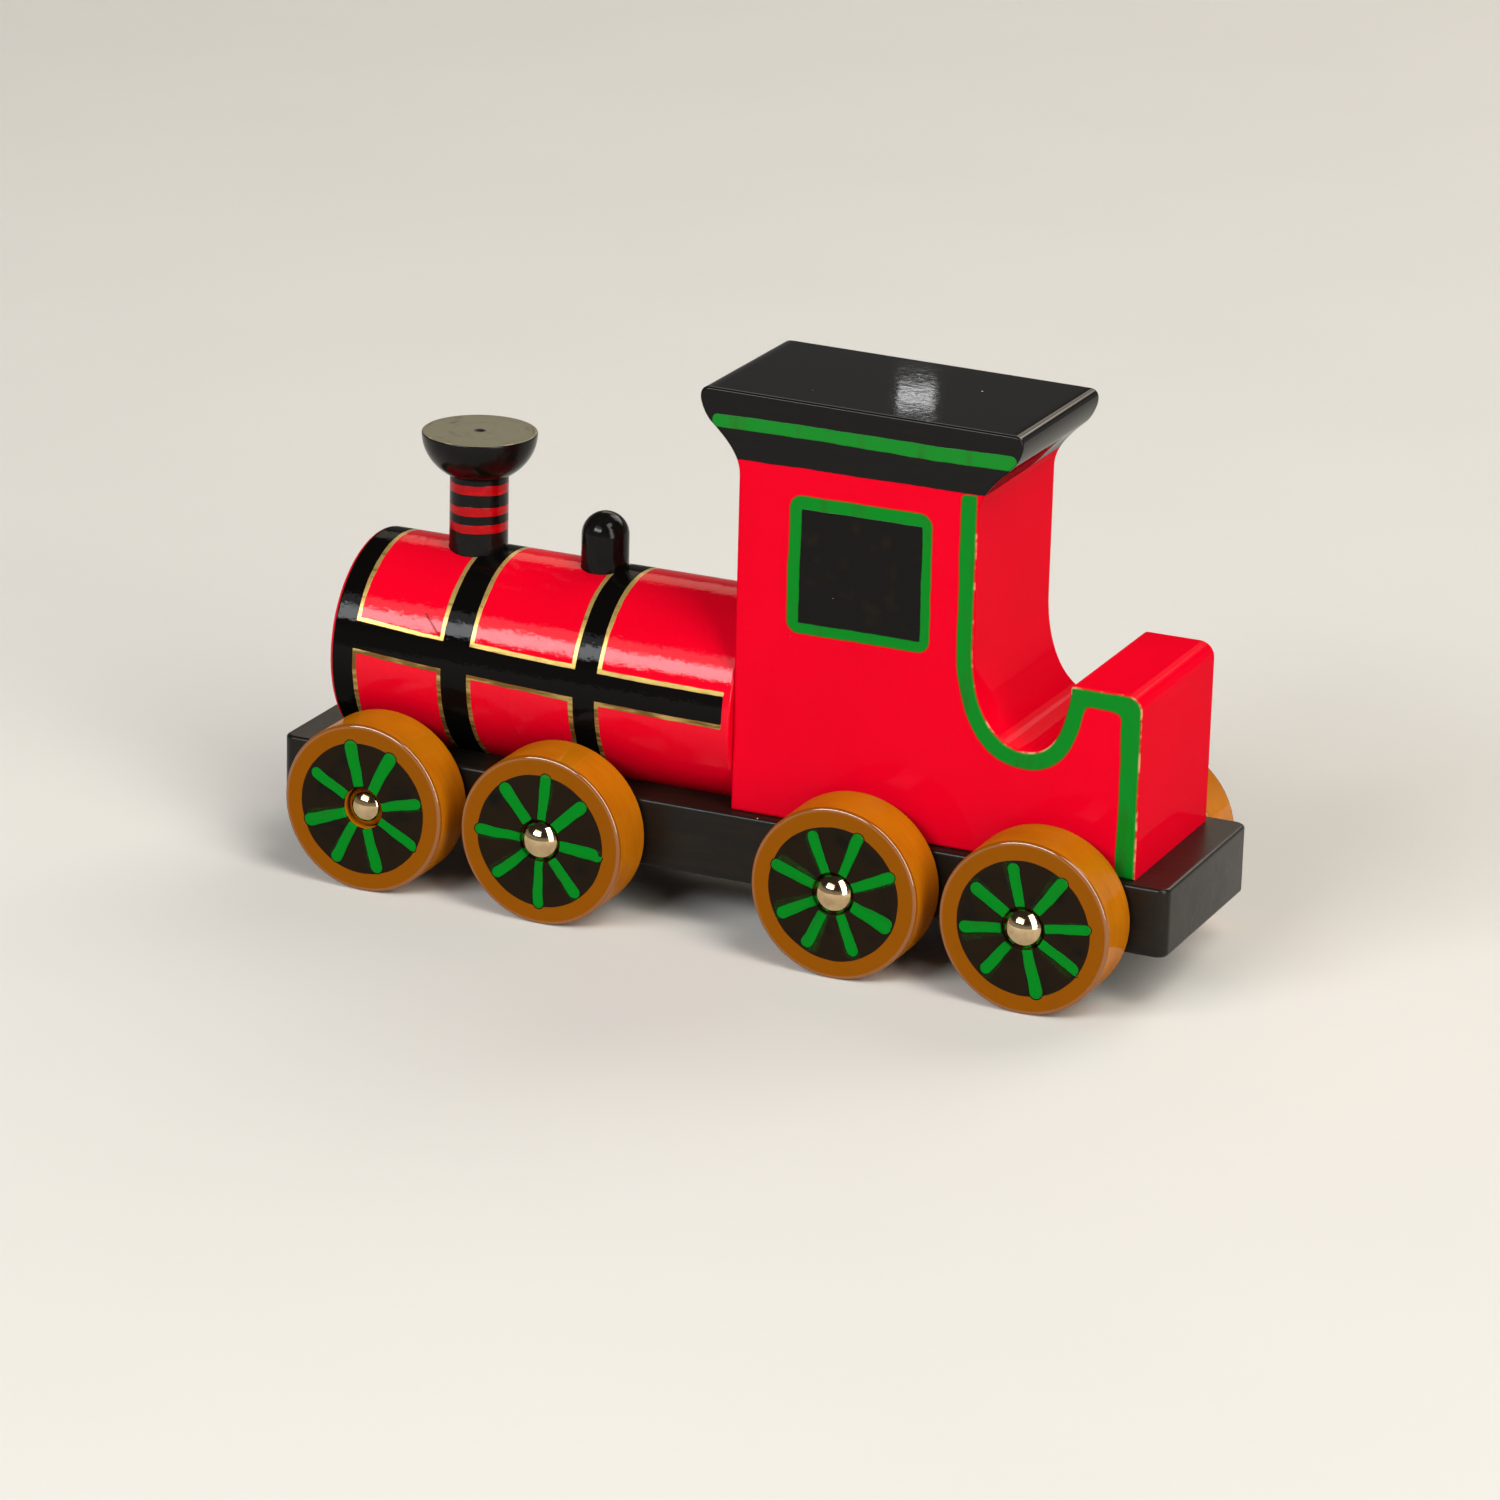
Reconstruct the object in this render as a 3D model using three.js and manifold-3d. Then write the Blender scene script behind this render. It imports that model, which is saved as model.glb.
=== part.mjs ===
// Wooden toy steam locomotive that rolls on eight wheels.
// Millimetres, +Z up, +X to the chimney end, +Y to the locomotive's left side.
// The origin is the middle of the footprint, on the ground under the wheels.

import * as THREE from "three";
import { mergeVertices } from "three/addons/utils/BufferGeometryUtils.js";
import Module from "manifold-3d";

const wasm = await Module();
wasm.setup();

// ---------------------------------------------------------------- driving dimensions

// Wheels: turned discs with a recessed hub around the axle cap.
const WHEEL_RADIUS = 22.5;
const WHEEL_OUTER_FACE = 44.5; // distance of the outer face from the centre plane
const WHEEL_THICKNESS = 15.2;
const WHEEL_RIM_ROUNDING = 1.5;
const WHEEL_BACK_CHAMFER = 1;
const HUB_RECESS_RADIUS = 5.6;
const HUB_RECESS_DEPTH = 5.2;
const HUB_LIP_CHAMFER = 0.3;
const WHEEL_SEGMENTS = 32;

// Axles: plain steel rods, driven through the chassis.
const AXLE_RADIUS = 2.5;
const AXLE_STATIONS = [91.3, 40.5, -40.9, -91.9]; // X of axles 1 to 4, front to rear
const RUNNING_CLEARANCE = 0.08; // radial, wheel bore around the rod
const FIXED_CLEARANCE = 0.1; // radial, round pieces held in drilled holes
const ROD_SEGMENTS = 16;

// Domed caps pressed on the rod ends; the front pair is driven further on.
const CAP_RADIUS = 5.2;
const CAP_SKIRT = 2.2;
const CAP_DOME = 3.2;
const CAP_GRIP = 3; // length of rod inside the cap
const CAP_STAND_OUT = [0.4, 3, 3, 3]; // apex beyond the wheel face, per axle
const CAP_SEGMENTS = 24;

// Chassis: one flat board with rounded corners.
const CHASSIS_LENGTH = 246.6;
const CHASSIS_WIDTH = 57;
const CHASSIS_BOTTOM = 14.5;
const CHASSIS_TOP = 32.5;
const CHASSIS_CORNER = 3;
const CHASSIS_EDGE = 0.8;
const CORD_HOLE_RADIUS = 2;
const CORD_HOLE_X = 116;

// Boiler: a dowel flattened underneath, between the cab and the front ledge.
const BOILER_RADIUS = 27.7;
const BOILER_AXIS_HEIGHT = 55.25;
const BOILER_FRONT = 110.2;
const BOILER_REAR = -3.75;
const BOILER_FRONT_ROUNDING = 1.4;
const BOILER_REAR_ROUNDING = 0.8;
const BOILER_SEGMENTS = 64;

// Chimney: turned stack and bowl in one, standing in a drilled hole.
const CHIMNEY_X = 81.1;
const STACK_RADIUS = 7.65;
const STACK_BOTTOM = 70.3;
const BOWL_RADIUS = 15;
const BOWL_DEPTH = 13.4;
const CHIMNEY_TOP = 113.8;
const CHIMNEY_SEGMENTS = 32;

// Steam dome: a bullet-shaped peg.
const DOME_X = 44.7;
const DOME_RADIUS = 6.2;
const DOME_BOTTOM = 72.3;
const DOME_TOP = 97.5;
const DOME_SEGMENTS = 24;

// Cab: one block, with the roof above and the bunker behind a round scoop.
const CAB_HALF_WIDTH = 25.3;
const CAB_FRONT = -3.75;
const CAB_BACK = -68.1;
const CAB_EDGE = 0.6;
const ROOF_TOP_FRONT = 142.3;
const ROOF_TOP_REAR = 141.2;
const ROOF_OVERHANG = 11.6;
const ROOF_FLARE_HEIGHT = 21.5;
const SCOOP_TOP = 86; // height where the back wall starts to curve away
const SCOOP_FLOOR = 61.1;
const SCOOP_LOW_X = -82.6;
const BUNKER_FRONT = -94.3;
const BUNKER_REAR = -113.3;
const BUNKER_TOP = 80;
const BUNKER_LIP = 2;
const BUNKER_CORNER = 4;

// Countersunk screws that hold the boiler and the cab down, from below.
const SCREW_STATIONS = { boiler_front: 66, boiler_rear: 14, cab_front: -14, cab_rear: -66 };
const SCREW_LENGTH = 32;
const SCREW_HEAD_RADIUS = 4;
const SCREW_SHANK_RADIUS = 1.9;
const SCREW_SINK = 0.6; // depth of the head below the board's underside
const SCREW_SLOT = { length: 4.4, width: 0.9, depth: 1.4 };

const CUT_MARGIN = 2; // how far a cutter runs past the face it opens

// ---------------------------------------------------------------- materials

function paint(color, roughness) {
  return new THREE.MeshStandardMaterial({ color, roughness, metalness: 0 });
}

function metal(color, roughness) {
  return new THREE.MeshStandardMaterial({ color, roughness, metalness: 1 });
}

const blackPaint = () => paint(0x1d1c1b, 0.3);
const redPaint = () => paint(0xe00a22, 0.25);
const caramelPaint = () => paint(0x9a5c14, 0.3);
const nickel = () => metal(0xc9c4b8, 0.12);
const steel = () => metal(0x9b9a96, 0.35);

// ---------------------------------------------------------------- solids

function solidOf(geometry) {
  const bare = geometry.clone();
  bare.deleteAttribute("normal");
  bare.deleteAttribute("uv");
  const merged = mergeVertices(bare);
  const triVerts = new Uint32Array(merged.index.array);
  const vertProperties = new Float32Array(merged.attributes.position.array);
  return new wasm.Manifold(new wasm.Mesh({ numProp: 3, vertProperties, triVerts }));
}

function geometryOf(solid) {
  const mesh = solid.getMesh();
  const geometry = new THREE.BufferGeometry();
  geometry.setAttribute("position", new THREE.BufferAttribute(mesh.vertProperties, 3));
  geometry.setIndex(new THREE.BufferAttribute(mesh.triVerts, 1));
  geometry.computeVertexNormals();
  return geometry;
}

function cut(geometry, cutters) {
  const remaining = cutters.reduce((solid, cutter) => solid.subtract(solidOf(cutter)), solidOf(geometry));
  return geometryOf(remaining);
}

// Turned solid about Y; the profile is a list of [radius, height] pairs.
function turned(profile, segments) {
  const points = profile.map(([radius, height]) => new THREE.Vector2(radius, height));
  return new THREE.LatheGeometry(points, segments);
}

function turnedAboutX(profile, segments) {
  return turned(profile, segments).rotateZ(-Math.PI / 2);
}

function turnedAboutZ(profile, segments) {
  return turned(profile, segments).rotateX(Math.PI / 2);
}

// Points of an ellipse about [centre], from one angle to another, in degrees.
function arc(centre, radii, from, to, steps) {
  return Array.from({ length: steps + 1 }, (_, i) => {
    const angle = THREE.MathUtils.degToRad(from + ((to - from) * i) / steps);
    return [centre[0] + radii[0] * Math.cos(angle), centre[1] + radii[1] * Math.sin(angle)];
  });
}

function node(name, geometry, material) {
  const mesh = new THREE.Mesh(geometry, material);
  mesh.name = name;
  return mesh;
}

// ---------------------------------------------------------------- screws

// Outline of a countersunk screw pointing up, grown by a clearance for its hole.
function screwProfile(clearance) {
  const head = SCREW_HEAD_RADIUS + clearance;
  const shank = SCREW_SHANK_RADIUS + clearance;
  const headRim = 0.3;
  const headHeight = headRim + SCREW_HEAD_RADIUS - SCREW_SHANK_RADIUS;
  const pointStart = SCREW_LENGTH - 2 * SCREW_SHANK_RADIUS;
  return [
    [head, headRim + clearance],
    [shank, headHeight + clearance],
    [shank, pointStart + clearance],
    [0, SCREW_LENGTH + clearance],
  ];
}

function screwHole(x) {
  const mouth = [[0, -CUT_MARGIN], [SCREW_HEAD_RADIUS + FIXED_CLEARANCE, -CUT_MARGIN]];
  const hole = turnedAboutZ([...mouth, ...screwProfile(FIXED_CLEARANCE)], ROD_SEGMENTS);
  return hole.translate(x, 0, CHASSIS_BOTTOM + SCREW_SINK);
}

function screw(name, x) {
  const body = turnedAboutZ([[0, 0], [SCREW_HEAD_RADIUS, 0], ...screwProfile(0)], ROD_SEGMENTS);
  const { length, width, depth } = SCREW_SLOT;
  const slotX = new THREE.BoxGeometry(length, width, 2 * depth);
  const slotY = new THREE.BoxGeometry(width, length, 2 * depth);
  const mesh = node(name, cut(body, [slotX, slotY]), steel());
  mesh.position.set(x, 0, CHASSIS_BOTTOM + SCREW_SINK);
  return mesh;
}

// ---------------------------------------------------------------- chassis

function roundedRectangle(length, width, corner) {
  const x = length / 2;
  const y = width / 2;
  const shape = new THREE.Shape();
  shape.moveTo(-x + corner, -y);
  shape.absarc(x - corner, -y + corner, corner, -Math.PI / 2, 0);
  shape.absarc(x - corner, y - corner, corner, 0, Math.PI / 2);
  shape.absarc(-x + corner, y - corner, corner, Math.PI / 2, Math.PI);
  shape.absarc(-x + corner, -y + corner, corner, Math.PI, 1.5 * Math.PI);
  return shape;
}

function axleHole(x) {
  const radius = AXLE_RADIUS + FIXED_CLEARANCE;
  const length = CHASSIS_WIDTH + 2 * CUT_MARGIN;
  return new THREE.CylinderGeometry(radius, radius, length, ROD_SEGMENTS).translate(x, 0, WHEEL_RADIUS);
}

function cordHole() {
  const length = CHASSIS_TOP - CHASSIS_BOTTOM + 2 * CUT_MARGIN;
  const hole = new THREE.CylinderGeometry(CORD_HOLE_RADIUS, CORD_HOLE_RADIUS, length, ROD_SEGMENTS);
  return hole.rotateX(Math.PI / 2).translate(CORD_HOLE_X, 0, (CHASSIS_TOP + CHASSIS_BOTTOM) / 2);
}

function chassis() {
  const thickness = CHASSIS_TOP - CHASSIS_BOTTOM;
  const board = new THREE.ExtrudeGeometry(roundedRectangle(CHASSIS_LENGTH, CHASSIS_WIDTH, CHASSIS_CORNER), {
    depth: thickness - 2 * CHASSIS_EDGE,
    bevelThickness: CHASSIS_EDGE,
    bevelSize: CHASSIS_EDGE,
    bevelOffset: -CHASSIS_EDGE,
    bevelSegments: 1,
    curveSegments: 5,
  });
  board.translate(0, 0, CHASSIS_BOTTOM + CHASSIS_EDGE);
  const screws = Object.values(SCREW_STATIONS).map(screwHole);
  const drilled = cut(board, [...AXLE_STATIONS.map(axleHole), ...screws, cordHole()]);
  return node("chassis", drilled, blackPaint());
}

// ---------------------------------------------------------------- boiler and its fittings

// Blind hole from above that seats an upright turned piece.
function seat(x, radius, bottom, segments) {
  const top = BOILER_AXIS_HEIGHT + BOILER_RADIUS + CUT_MARGIN;
  const r = radius + FIXED_CLEARANCE;
  const floor = bottom - FIXED_CLEARANCE;
  const hole = turnedAboutZ([[0, floor], [r, floor], [r, top], [0, top]], segments);
  return hole.translate(x, 0, 0);
}

function boiler() {
  const rearEdge = arc(
    [BOILER_RADIUS - BOILER_REAR_ROUNDING, BOILER_REAR + BOILER_REAR_ROUNDING],
    [BOILER_REAR_ROUNDING, BOILER_REAR_ROUNDING], -90, 0, 2);
  const frontEdge = arc(
    [BOILER_RADIUS - BOILER_FRONT_ROUNDING, BOILER_FRONT - BOILER_FRONT_ROUNDING],
    [BOILER_FRONT_ROUNDING, BOILER_FRONT_ROUNDING], 0, 90, 3);
  const profile = [[0, BOILER_REAR], ...rearEdge, ...frontEdge, [0, BOILER_FRONT]];
  const dowel = turnedAboutX(profile, BOILER_SEGMENTS).translate(0, 0, BOILER_AXIS_HEIGHT);

  const underside = new THREE.BoxGeometry(CHASSIS_LENGTH, CHASSIS_WIDTH, CHASSIS_TOP);
  underside.translate(0, 0, CHASSIS_TOP / 2);
  const drilled = cut(dowel, [
    underside,
    seat(CHIMNEY_X, STACK_RADIUS, STACK_BOTTOM, CHIMNEY_SEGMENTS),
    seat(DOME_X, DOME_RADIUS, DOME_BOTTOM, DOME_SEGMENTS),
    screwHole(SCREW_STATIONS.boiler_front),
    screwHole(SCREW_STATIONS.boiler_rear),
  ]);
  return node("boiler", drilled, redPaint());
}

function chimney() {
  const rimBreak = 0.4;
  const centreMark = 0.5;
  const bowlStart = -THREE.MathUtils.radToDeg(Math.acos(STACK_RADIUS / BOWL_RADIUS));
  const bowl = arc([0, CHIMNEY_TOP - rimBreak], [BOWL_RADIUS, BOWL_DEPTH - rimBreak], bowlStart, 0, 7);
  const profile = [
    [0, STACK_BOTTOM],
    [STACK_RADIUS, STACK_BOTTOM],
    ...bowl,
    [BOWL_RADIUS - rimBreak, CHIMNEY_TOP],
    [centreMark, CHIMNEY_TOP],
    [0, CHIMNEY_TOP - centreMark],
  ];
  const mesh = node("chimney", turnedAboutZ(profile, CHIMNEY_SEGMENTS), blackPaint());
  mesh.position.x = CHIMNEY_X;
  return mesh;
}

function steamDome() {
  const crown = arc([0, DOME_TOP - DOME_RADIUS], [DOME_RADIUS, DOME_RADIUS], 0, 72, 4);
  const profile = [[0, DOME_BOTTOM], [DOME_RADIUS, DOME_BOTTOM], ...crown, [0, DOME_TOP]];
  const mesh = node("steam_dome", turnedAboutZ(profile, DOME_SEGMENTS), blackPaint());
  mesh.position.x = DOME_X;
  return mesh;
}

// ---------------------------------------------------------------- cab

function bezier(start, startHandle, endHandle, end, steps) {
  const points = [start, startHandle, endHandle, end].map(([x, z]) => new THREE.Vector2(x, z));
  return new THREE.CubicBezierCurve(...points).getPoints(steps);
}

// One end of the roof: a hollow sweep outwards from the wall, then a round nose.
// It runs from the wall up to the roof; [out] is +1 at the front, -1 at the rear.
function roofEnd(wall, top, out) {
  const at = (across, down) => [wall + out * across * ROOF_OVERHANG, top - down * ROOF_FLARE_HEIGHT];
  const turn = at(0.73, 0.4); // where the hollow sweep becomes the round nose
  const sweep = bezier(at(0, 1), at(0, 0.76), at(0.38, 0.57), turn, 7);
  const nose = bezier(turn, at(0.9, 0.3), at(1.15, 0), at(0.73, 0), 8);
  return [...sweep, ...nose.slice(1)];
}

// The scoop between the cab's back wall and the bunker, down one side and up the other.
function scoop() {
  const bunkerSideTop = BUNKER_TOP - BUNKER_LIP;
  const wallDrop = SCOOP_TOP - SCOOP_FLOOR;
  const wallReach = SCOOP_LOW_X - CAB_BACK;
  const bunkerRise = bunkerSideTop - SCOOP_FLOOR;
  const bunkerReach = BUNKER_FRONT - SCOOP_LOW_X;
  const low = [SCOOP_LOW_X, SCOOP_FLOOR];
  const wallSide = bezier(
    [CAB_BACK, SCOOP_TOP],
    [CAB_BACK, SCOOP_FLOOR + 0.44 * wallDrop],
    [CAB_BACK + 0.37 * wallReach, SCOOP_FLOOR],
    low, 8);
  const bunkerSide = bezier(
    low,
    [SCOOP_LOW_X + 0.65 * bunkerReach, SCOOP_FLOOR],
    [SCOOP_LOW_X + 0.84 * bunkerReach, SCOOP_FLOOR + 0.35 * bunkerRise],
    [BUNKER_FRONT, bunkerSideTop], 8);
  const lip = bezier(
    [BUNKER_FRONT, bunkerSideTop],
    [BUNKER_FRONT, BUNKER_TOP],
    [BUNKER_FRONT, BUNKER_TOP],
    [BUNKER_FRONT - BUNKER_LIP, BUNKER_TOP], 3);
  return [...wallSide, ...bunkerSide.slice(1), ...lip.slice(1)];
}

function bunkerCorner() {
  const centre = [BUNKER_REAR + BUNKER_CORNER, BUNKER_TOP - BUNKER_CORNER];
  const corner = arc(centre, [BUNKER_CORNER, BUNKER_CORNER], 90, 180, 5);
  return corner.map(([x, z]) => new THREE.Vector2(x, z));
}

// Side outline, drawn in X and Z, from the front foot over the roof to the rear foot.
function cabOutline() {
  return [
    new THREE.Vector2(CAB_FRONT, CHASSIS_TOP),
    ...roofEnd(CAB_FRONT, ROOF_TOP_FRONT, 1),
    ...roofEnd(CAB_BACK, ROOF_TOP_REAR, -1).reverse(),
    ...scoop(),
    ...bunkerCorner(),
    new THREE.Vector2(BUNKER_REAR, CHASSIS_TOP),
  ];
}

function cab() {
  const block = new THREE.ExtrudeGeometry(new THREE.Shape(cabOutline()), {
    depth: 2 * (CAB_HALF_WIDTH - CAB_EDGE),
    bevelThickness: CAB_EDGE,
    bevelSize: CAB_EDGE,
    bevelOffset: -CAB_EDGE,
    bevelSegments: 1,
  });
  block.translate(0, 0, -(CAB_HALF_WIDTH - CAB_EDGE));
  block.rotateX(Math.PI / 2);
  const drilled = cut(block, [screwHole(SCREW_STATIONS.cab_front), screwHole(SCREW_STATIONS.cab_rear)]);
  return node("cab_body", drilled, redPaint());
}

// ---------------------------------------------------------------- wheels, axles and caps

function wheelGeometry() {
  const bore = AXLE_RADIUS + RUNNING_CLEARANCE;
  const recessFloor = WHEEL_THICKNESS - HUB_RECESS_DEPTH;
  const rounding = WHEEL_RIM_ROUNDING;
  const rim = arc([WHEEL_RADIUS - rounding, WHEEL_THICKNESS - rounding], [rounding, rounding], 90, 0, 3);
  const profile = [
    [bore, 0],
    [bore, recessFloor],
    [HUB_RECESS_RADIUS, recessFloor],
    [HUB_RECESS_RADIUS, WHEEL_THICKNESS - HUB_LIP_CHAMFER],
    [HUB_RECESS_RADIUS + HUB_LIP_CHAMFER, WHEEL_THICKNESS],
    ...rim,
    [WHEEL_RADIUS, WHEEL_BACK_CHAMFER],
    [WHEEL_RADIUS - WHEEL_BACK_CHAMFER, 0],
    [bore, 0],
  ];
  return turned(profile.reverse(), WHEEL_SEGMENTS);
}

function capGeometry() {
  const socket = AXLE_RADIUS + FIXED_CLEARANCE;
  const socketDepth = CAP_GRIP + FIXED_CLEARANCE;
  const top = CAP_SKIRT + CAP_DOME;
  const ball = (CAP_RADIUS ** 2 + CAP_DOME ** 2) / (2 * CAP_DOME); // radius of the dome's sphere
  const brim = THREE.MathUtils.radToDeg(Math.acos(CAP_RADIUS / ball));
  const dome = arc([0, top - ball], [ball, ball], brim, 78, 5);
  const base = [[0, socketDepth], [socket, socketDepth], [socket, 0], [CAP_RADIUS, 0]];
  return turned([...base, ...dome, [0, top]], CAP_SEGMENTS);
}

// Stands a piece that was turned about Y on the left side, or turned round on the right.
function placeOnSide(mesh, x, distance, side) {
  mesh.position.set(x, side * distance, WHEEL_RADIUS);
  mesh.rotation.z = side > 0 ? 0 : Math.PI;
  return mesh;
}

function axleSet(x, number) {
  const capBase = WHEEL_OUTER_FACE + CAP_STAND_OUT[number - 1] - CAP_SKIRT - CAP_DOME;
  const rodLength = 2 * (capBase + CAP_GRIP);
  const rod = new THREE.CylinderGeometry(AXLE_RADIUS, AXLE_RADIUS, rodLength, ROD_SEGMENTS);
  const axle = node(`axle_${number}`, rod, steel());
  axle.position.set(x, 0, WHEEL_RADIUS);
  const pieces = [axle];
  for (const [label, side] of [["left", 1], ["right", -1]]) {
    const wheel = node(`wheel_${number}_${label}`, wheelGeometry(), caramelPaint());
    const cap = node(`axle_cap_${number}_${label}`, capGeometry(), nickel());
    pieces.push(placeOnSide(wheel, x, WHEEL_OUTER_FACE - WHEEL_THICKNESS, side));
    pieces.push(placeOnSide(cap, x, capBase, side));
  }
  return pieces;
}

// ---------------------------------------------------------------- assembly

const locomotive = new THREE.Group();
locomotive.add(chassis(), boiler(), cab(), chimney(), steamDome());
AXLE_STATIONS.forEach((x, index) => locomotive.add(...axleSet(x, index + 1)));
for (const [place, x] of Object.entries(SCREW_STATIONS)) {
  locomotive.add(screw(`screw_${place}`, x));
}

export default locomotive;
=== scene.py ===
# Looks of a painted wooden toy locomotive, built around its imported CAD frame.
# Each piece is a smooth mesh that stands for one CAD node, at the size and place the frame gives.
# Metres; +X is the chimney end, +Y the locomotive's left side, +Z up, wheels standing on Z = 0.

import functools
import math

import bmesh
import bpy
from mathutils import Matrix, Vector, geometry


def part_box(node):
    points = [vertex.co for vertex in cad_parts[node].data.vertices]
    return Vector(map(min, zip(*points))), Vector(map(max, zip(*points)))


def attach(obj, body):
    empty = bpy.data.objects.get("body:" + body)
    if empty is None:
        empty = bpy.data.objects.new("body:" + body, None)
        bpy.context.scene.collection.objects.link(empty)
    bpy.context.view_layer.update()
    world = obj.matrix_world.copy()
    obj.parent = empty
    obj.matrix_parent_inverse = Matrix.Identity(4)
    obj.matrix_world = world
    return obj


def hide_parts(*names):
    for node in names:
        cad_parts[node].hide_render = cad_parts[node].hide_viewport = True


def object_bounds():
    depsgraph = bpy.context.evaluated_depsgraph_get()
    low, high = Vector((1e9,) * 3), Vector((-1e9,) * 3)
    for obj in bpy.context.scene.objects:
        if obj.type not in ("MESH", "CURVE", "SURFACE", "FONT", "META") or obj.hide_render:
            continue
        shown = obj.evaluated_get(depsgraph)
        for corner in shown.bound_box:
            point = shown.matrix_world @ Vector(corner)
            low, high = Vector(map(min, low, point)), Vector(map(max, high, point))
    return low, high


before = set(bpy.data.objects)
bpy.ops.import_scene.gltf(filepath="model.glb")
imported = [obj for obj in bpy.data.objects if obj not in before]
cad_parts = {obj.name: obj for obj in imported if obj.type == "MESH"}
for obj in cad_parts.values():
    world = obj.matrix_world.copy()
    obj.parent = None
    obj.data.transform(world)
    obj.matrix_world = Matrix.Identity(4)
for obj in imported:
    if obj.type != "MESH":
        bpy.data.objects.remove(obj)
CAD_LO, CAD_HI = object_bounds()

MM = 0.001
BODY = "locomotive"
SIDES = {"left": 1, "right": -1}
STATIONS = (1, 2, 3, 4)

# -------------------------------- sizes of the fine shapes

HOLD = 0.3 * MM  # flat kept beside a rounded edge, so that smooth shading stays in the edge
SMALL_HOLD = 0.05 * MM  # the same on the caps and the screws
SHARP_ANGLE = math.radians(34)
CLEARANCE = 0.1 * MM  # around a round piece that sits in a drilled hole
FOOT_EDGE = 0.4 * MM  # rounding at the foot of the chimney and of the dome

WHEEL_RIM = 0.75 * MM
WHEEL_BACK_EDGE = 1.0 * MM
HUB_RADIUS = 5.6 * MM
HUB_DEPTH = 5.2 * MM
HUB_LIP = 0.3 * MM  # rounding of the hub recess, at its mouth and at its floor
WHEEL_BORE = 2.58 * MM  # radius, like the other bores, the screws' heads and shanks, and the mark

CAP_DOME = 3.2 * MM
CAP_BORE = 2.6 * MM
CAP_GRIP = 3.0 * MM
CAP_EDGE = 0.2 * MM
ROD_CHAMFER = 0.4 * MM

BOARD_CORNER = 3.0 * MM
BOARD_EDGE = 0.9 * MM
CORD_HOLE_RADIUS = 2.0 * MM
CORD_HOLE_FROM_FRONT = 7.3 * MM

BOILER_FRONT_EDGE = 1.4 * MM
BOILER_REAR_EDGE = 0.8 * MM

STACK_RADIUS = 7.65 * MM
BOWL_DEPTH = 13.4 * MM
BOWL_RIM = 0.45 * MM
CENTRE_MARK = 1.2 * MM
CENTRE_MARK_DEPTH = 0.7 * MM

CAB_BACK = -68.1 * MM
CAB_EDGE = 0.7 * MM
CAB_EDGE_STEPS = 4
OUTLINE_STEP = 1.2 * MM  # between points round the side outline
SIDE_STEP = 1.6 * MM  # between points across a flat side
ROOF_DROP = 1.1 * MM  # the roof's rear edge below its front edge
ROOF_OVERHANG = 11.6 * MM
ROOF_FLARE = 21.5 * MM
SCOOP_TOP = 86 * MM
SCOOP_FLOOR = 61.1 * MM
SCOOP_LOW_X = -82.6 * MM
BUNKER_FRONT = -94.3 * MM
BUNKER_TOP = 80 * MM
BUNKER_LIP = 2 * MM
BUNKER_CORNER = 4 * MM

SCREW_HEAD = 4.0 * MM
SCREW_SHANK = 1.9 * MM
SCREW_RIM = 0.3 * MM  # thickness of the head's edge, before it tapers
SCREW_HEAD_EDGE = 0.15 * MM
SCREW_SLOT_REACH = 2.3 * MM
SCREW_SLOT_HALF_WIDTH = 0.45 * MM
SCREW_SLOT_DEPTH = 1.4 * MM
SCREW_TAPER_END = SCREW_RIM + SCREW_HEAD - SCREW_SHANK
SCREW_POINT = 2 * SCREW_SHANK
SCREWS = ("boiler_front", "boiler_rear", "cab_front", "cab_rear")

# -------------------------------- sizes read from the frame

BOARD_LO, BOARD_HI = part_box("chassis")
BOILER_LO, BOILER_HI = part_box("boiler")
BOILER_RADIUS = BOILER_HI.y
BOILER_AXIS = BOILER_HI.z - BOILER_RADIUS
CHIMNEY_LO, CHIMNEY_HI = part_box("chimney")
BOWL_RADIUS = CHIMNEY_HI.y
CHIMNEY_X = (CHIMNEY_LO.x + CHIMNEY_HI.x) / 2
DOME_LO, DOME_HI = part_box("steam_dome")
DOME_RADIUS = DOME_HI.y
DOME_X = (DOME_LO.x + DOME_HI.x) / 2
CAB_LO, CAB_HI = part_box("cab_body")
CAB_FRONT = BOILER_LO.x
CAB_SIDE = CAB_HI.y
BUNKER_REAR = CAB_LO.x
ROOF_FRONT_TOP = CAB_HI.z
ROOF_REAR_TOP = CAB_HI.z - ROOF_DROP
WHEEL_LO, WHEEL_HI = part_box("wheel_1_left")
WHEEL_RADIUS = (WHEEL_HI.z - WHEEL_LO.z) / 2
WHEEL_THICKNESS = WHEEL_HI.y - WHEEL_LO.y

# -------------------------------- colours, linear

RED = (0.525, 0.0004, 0.0105)
RED_DEEP = (0.420, 0.0002, 0.0080)
RED_RING = (0.260, 0.0008, 0.0020)
BLACK = (0.0045, 0.0042, 0.0038)
BLACK_DEEP = (0.0018, 0.0016, 0.0014)
BLACK_THIN = (0.0100, 0.0064, 0.0034)
# the chimney's dull top: grey as a painted sheen of reflected light
BLACK_MATT_PAINTED_SHEEN = (0.120, 0.108, 0.068)
GREEN = (0.001, 0.140, 0.0085)
GREEN_THIN = (0.012, 0.080, 0.0080)
GREEN_RIM = (0.150, 0.045, 0.004)
GOLD = (0.430, 0.310, 0.090)
# the gold's thin tone, also used as its painted shade low on the boiler
GOLD_THIN_AND_SHADE = (0.135, 0.075, 0.014)
CARAMEL = (0.390, 0.122, 0.0020)
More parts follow.
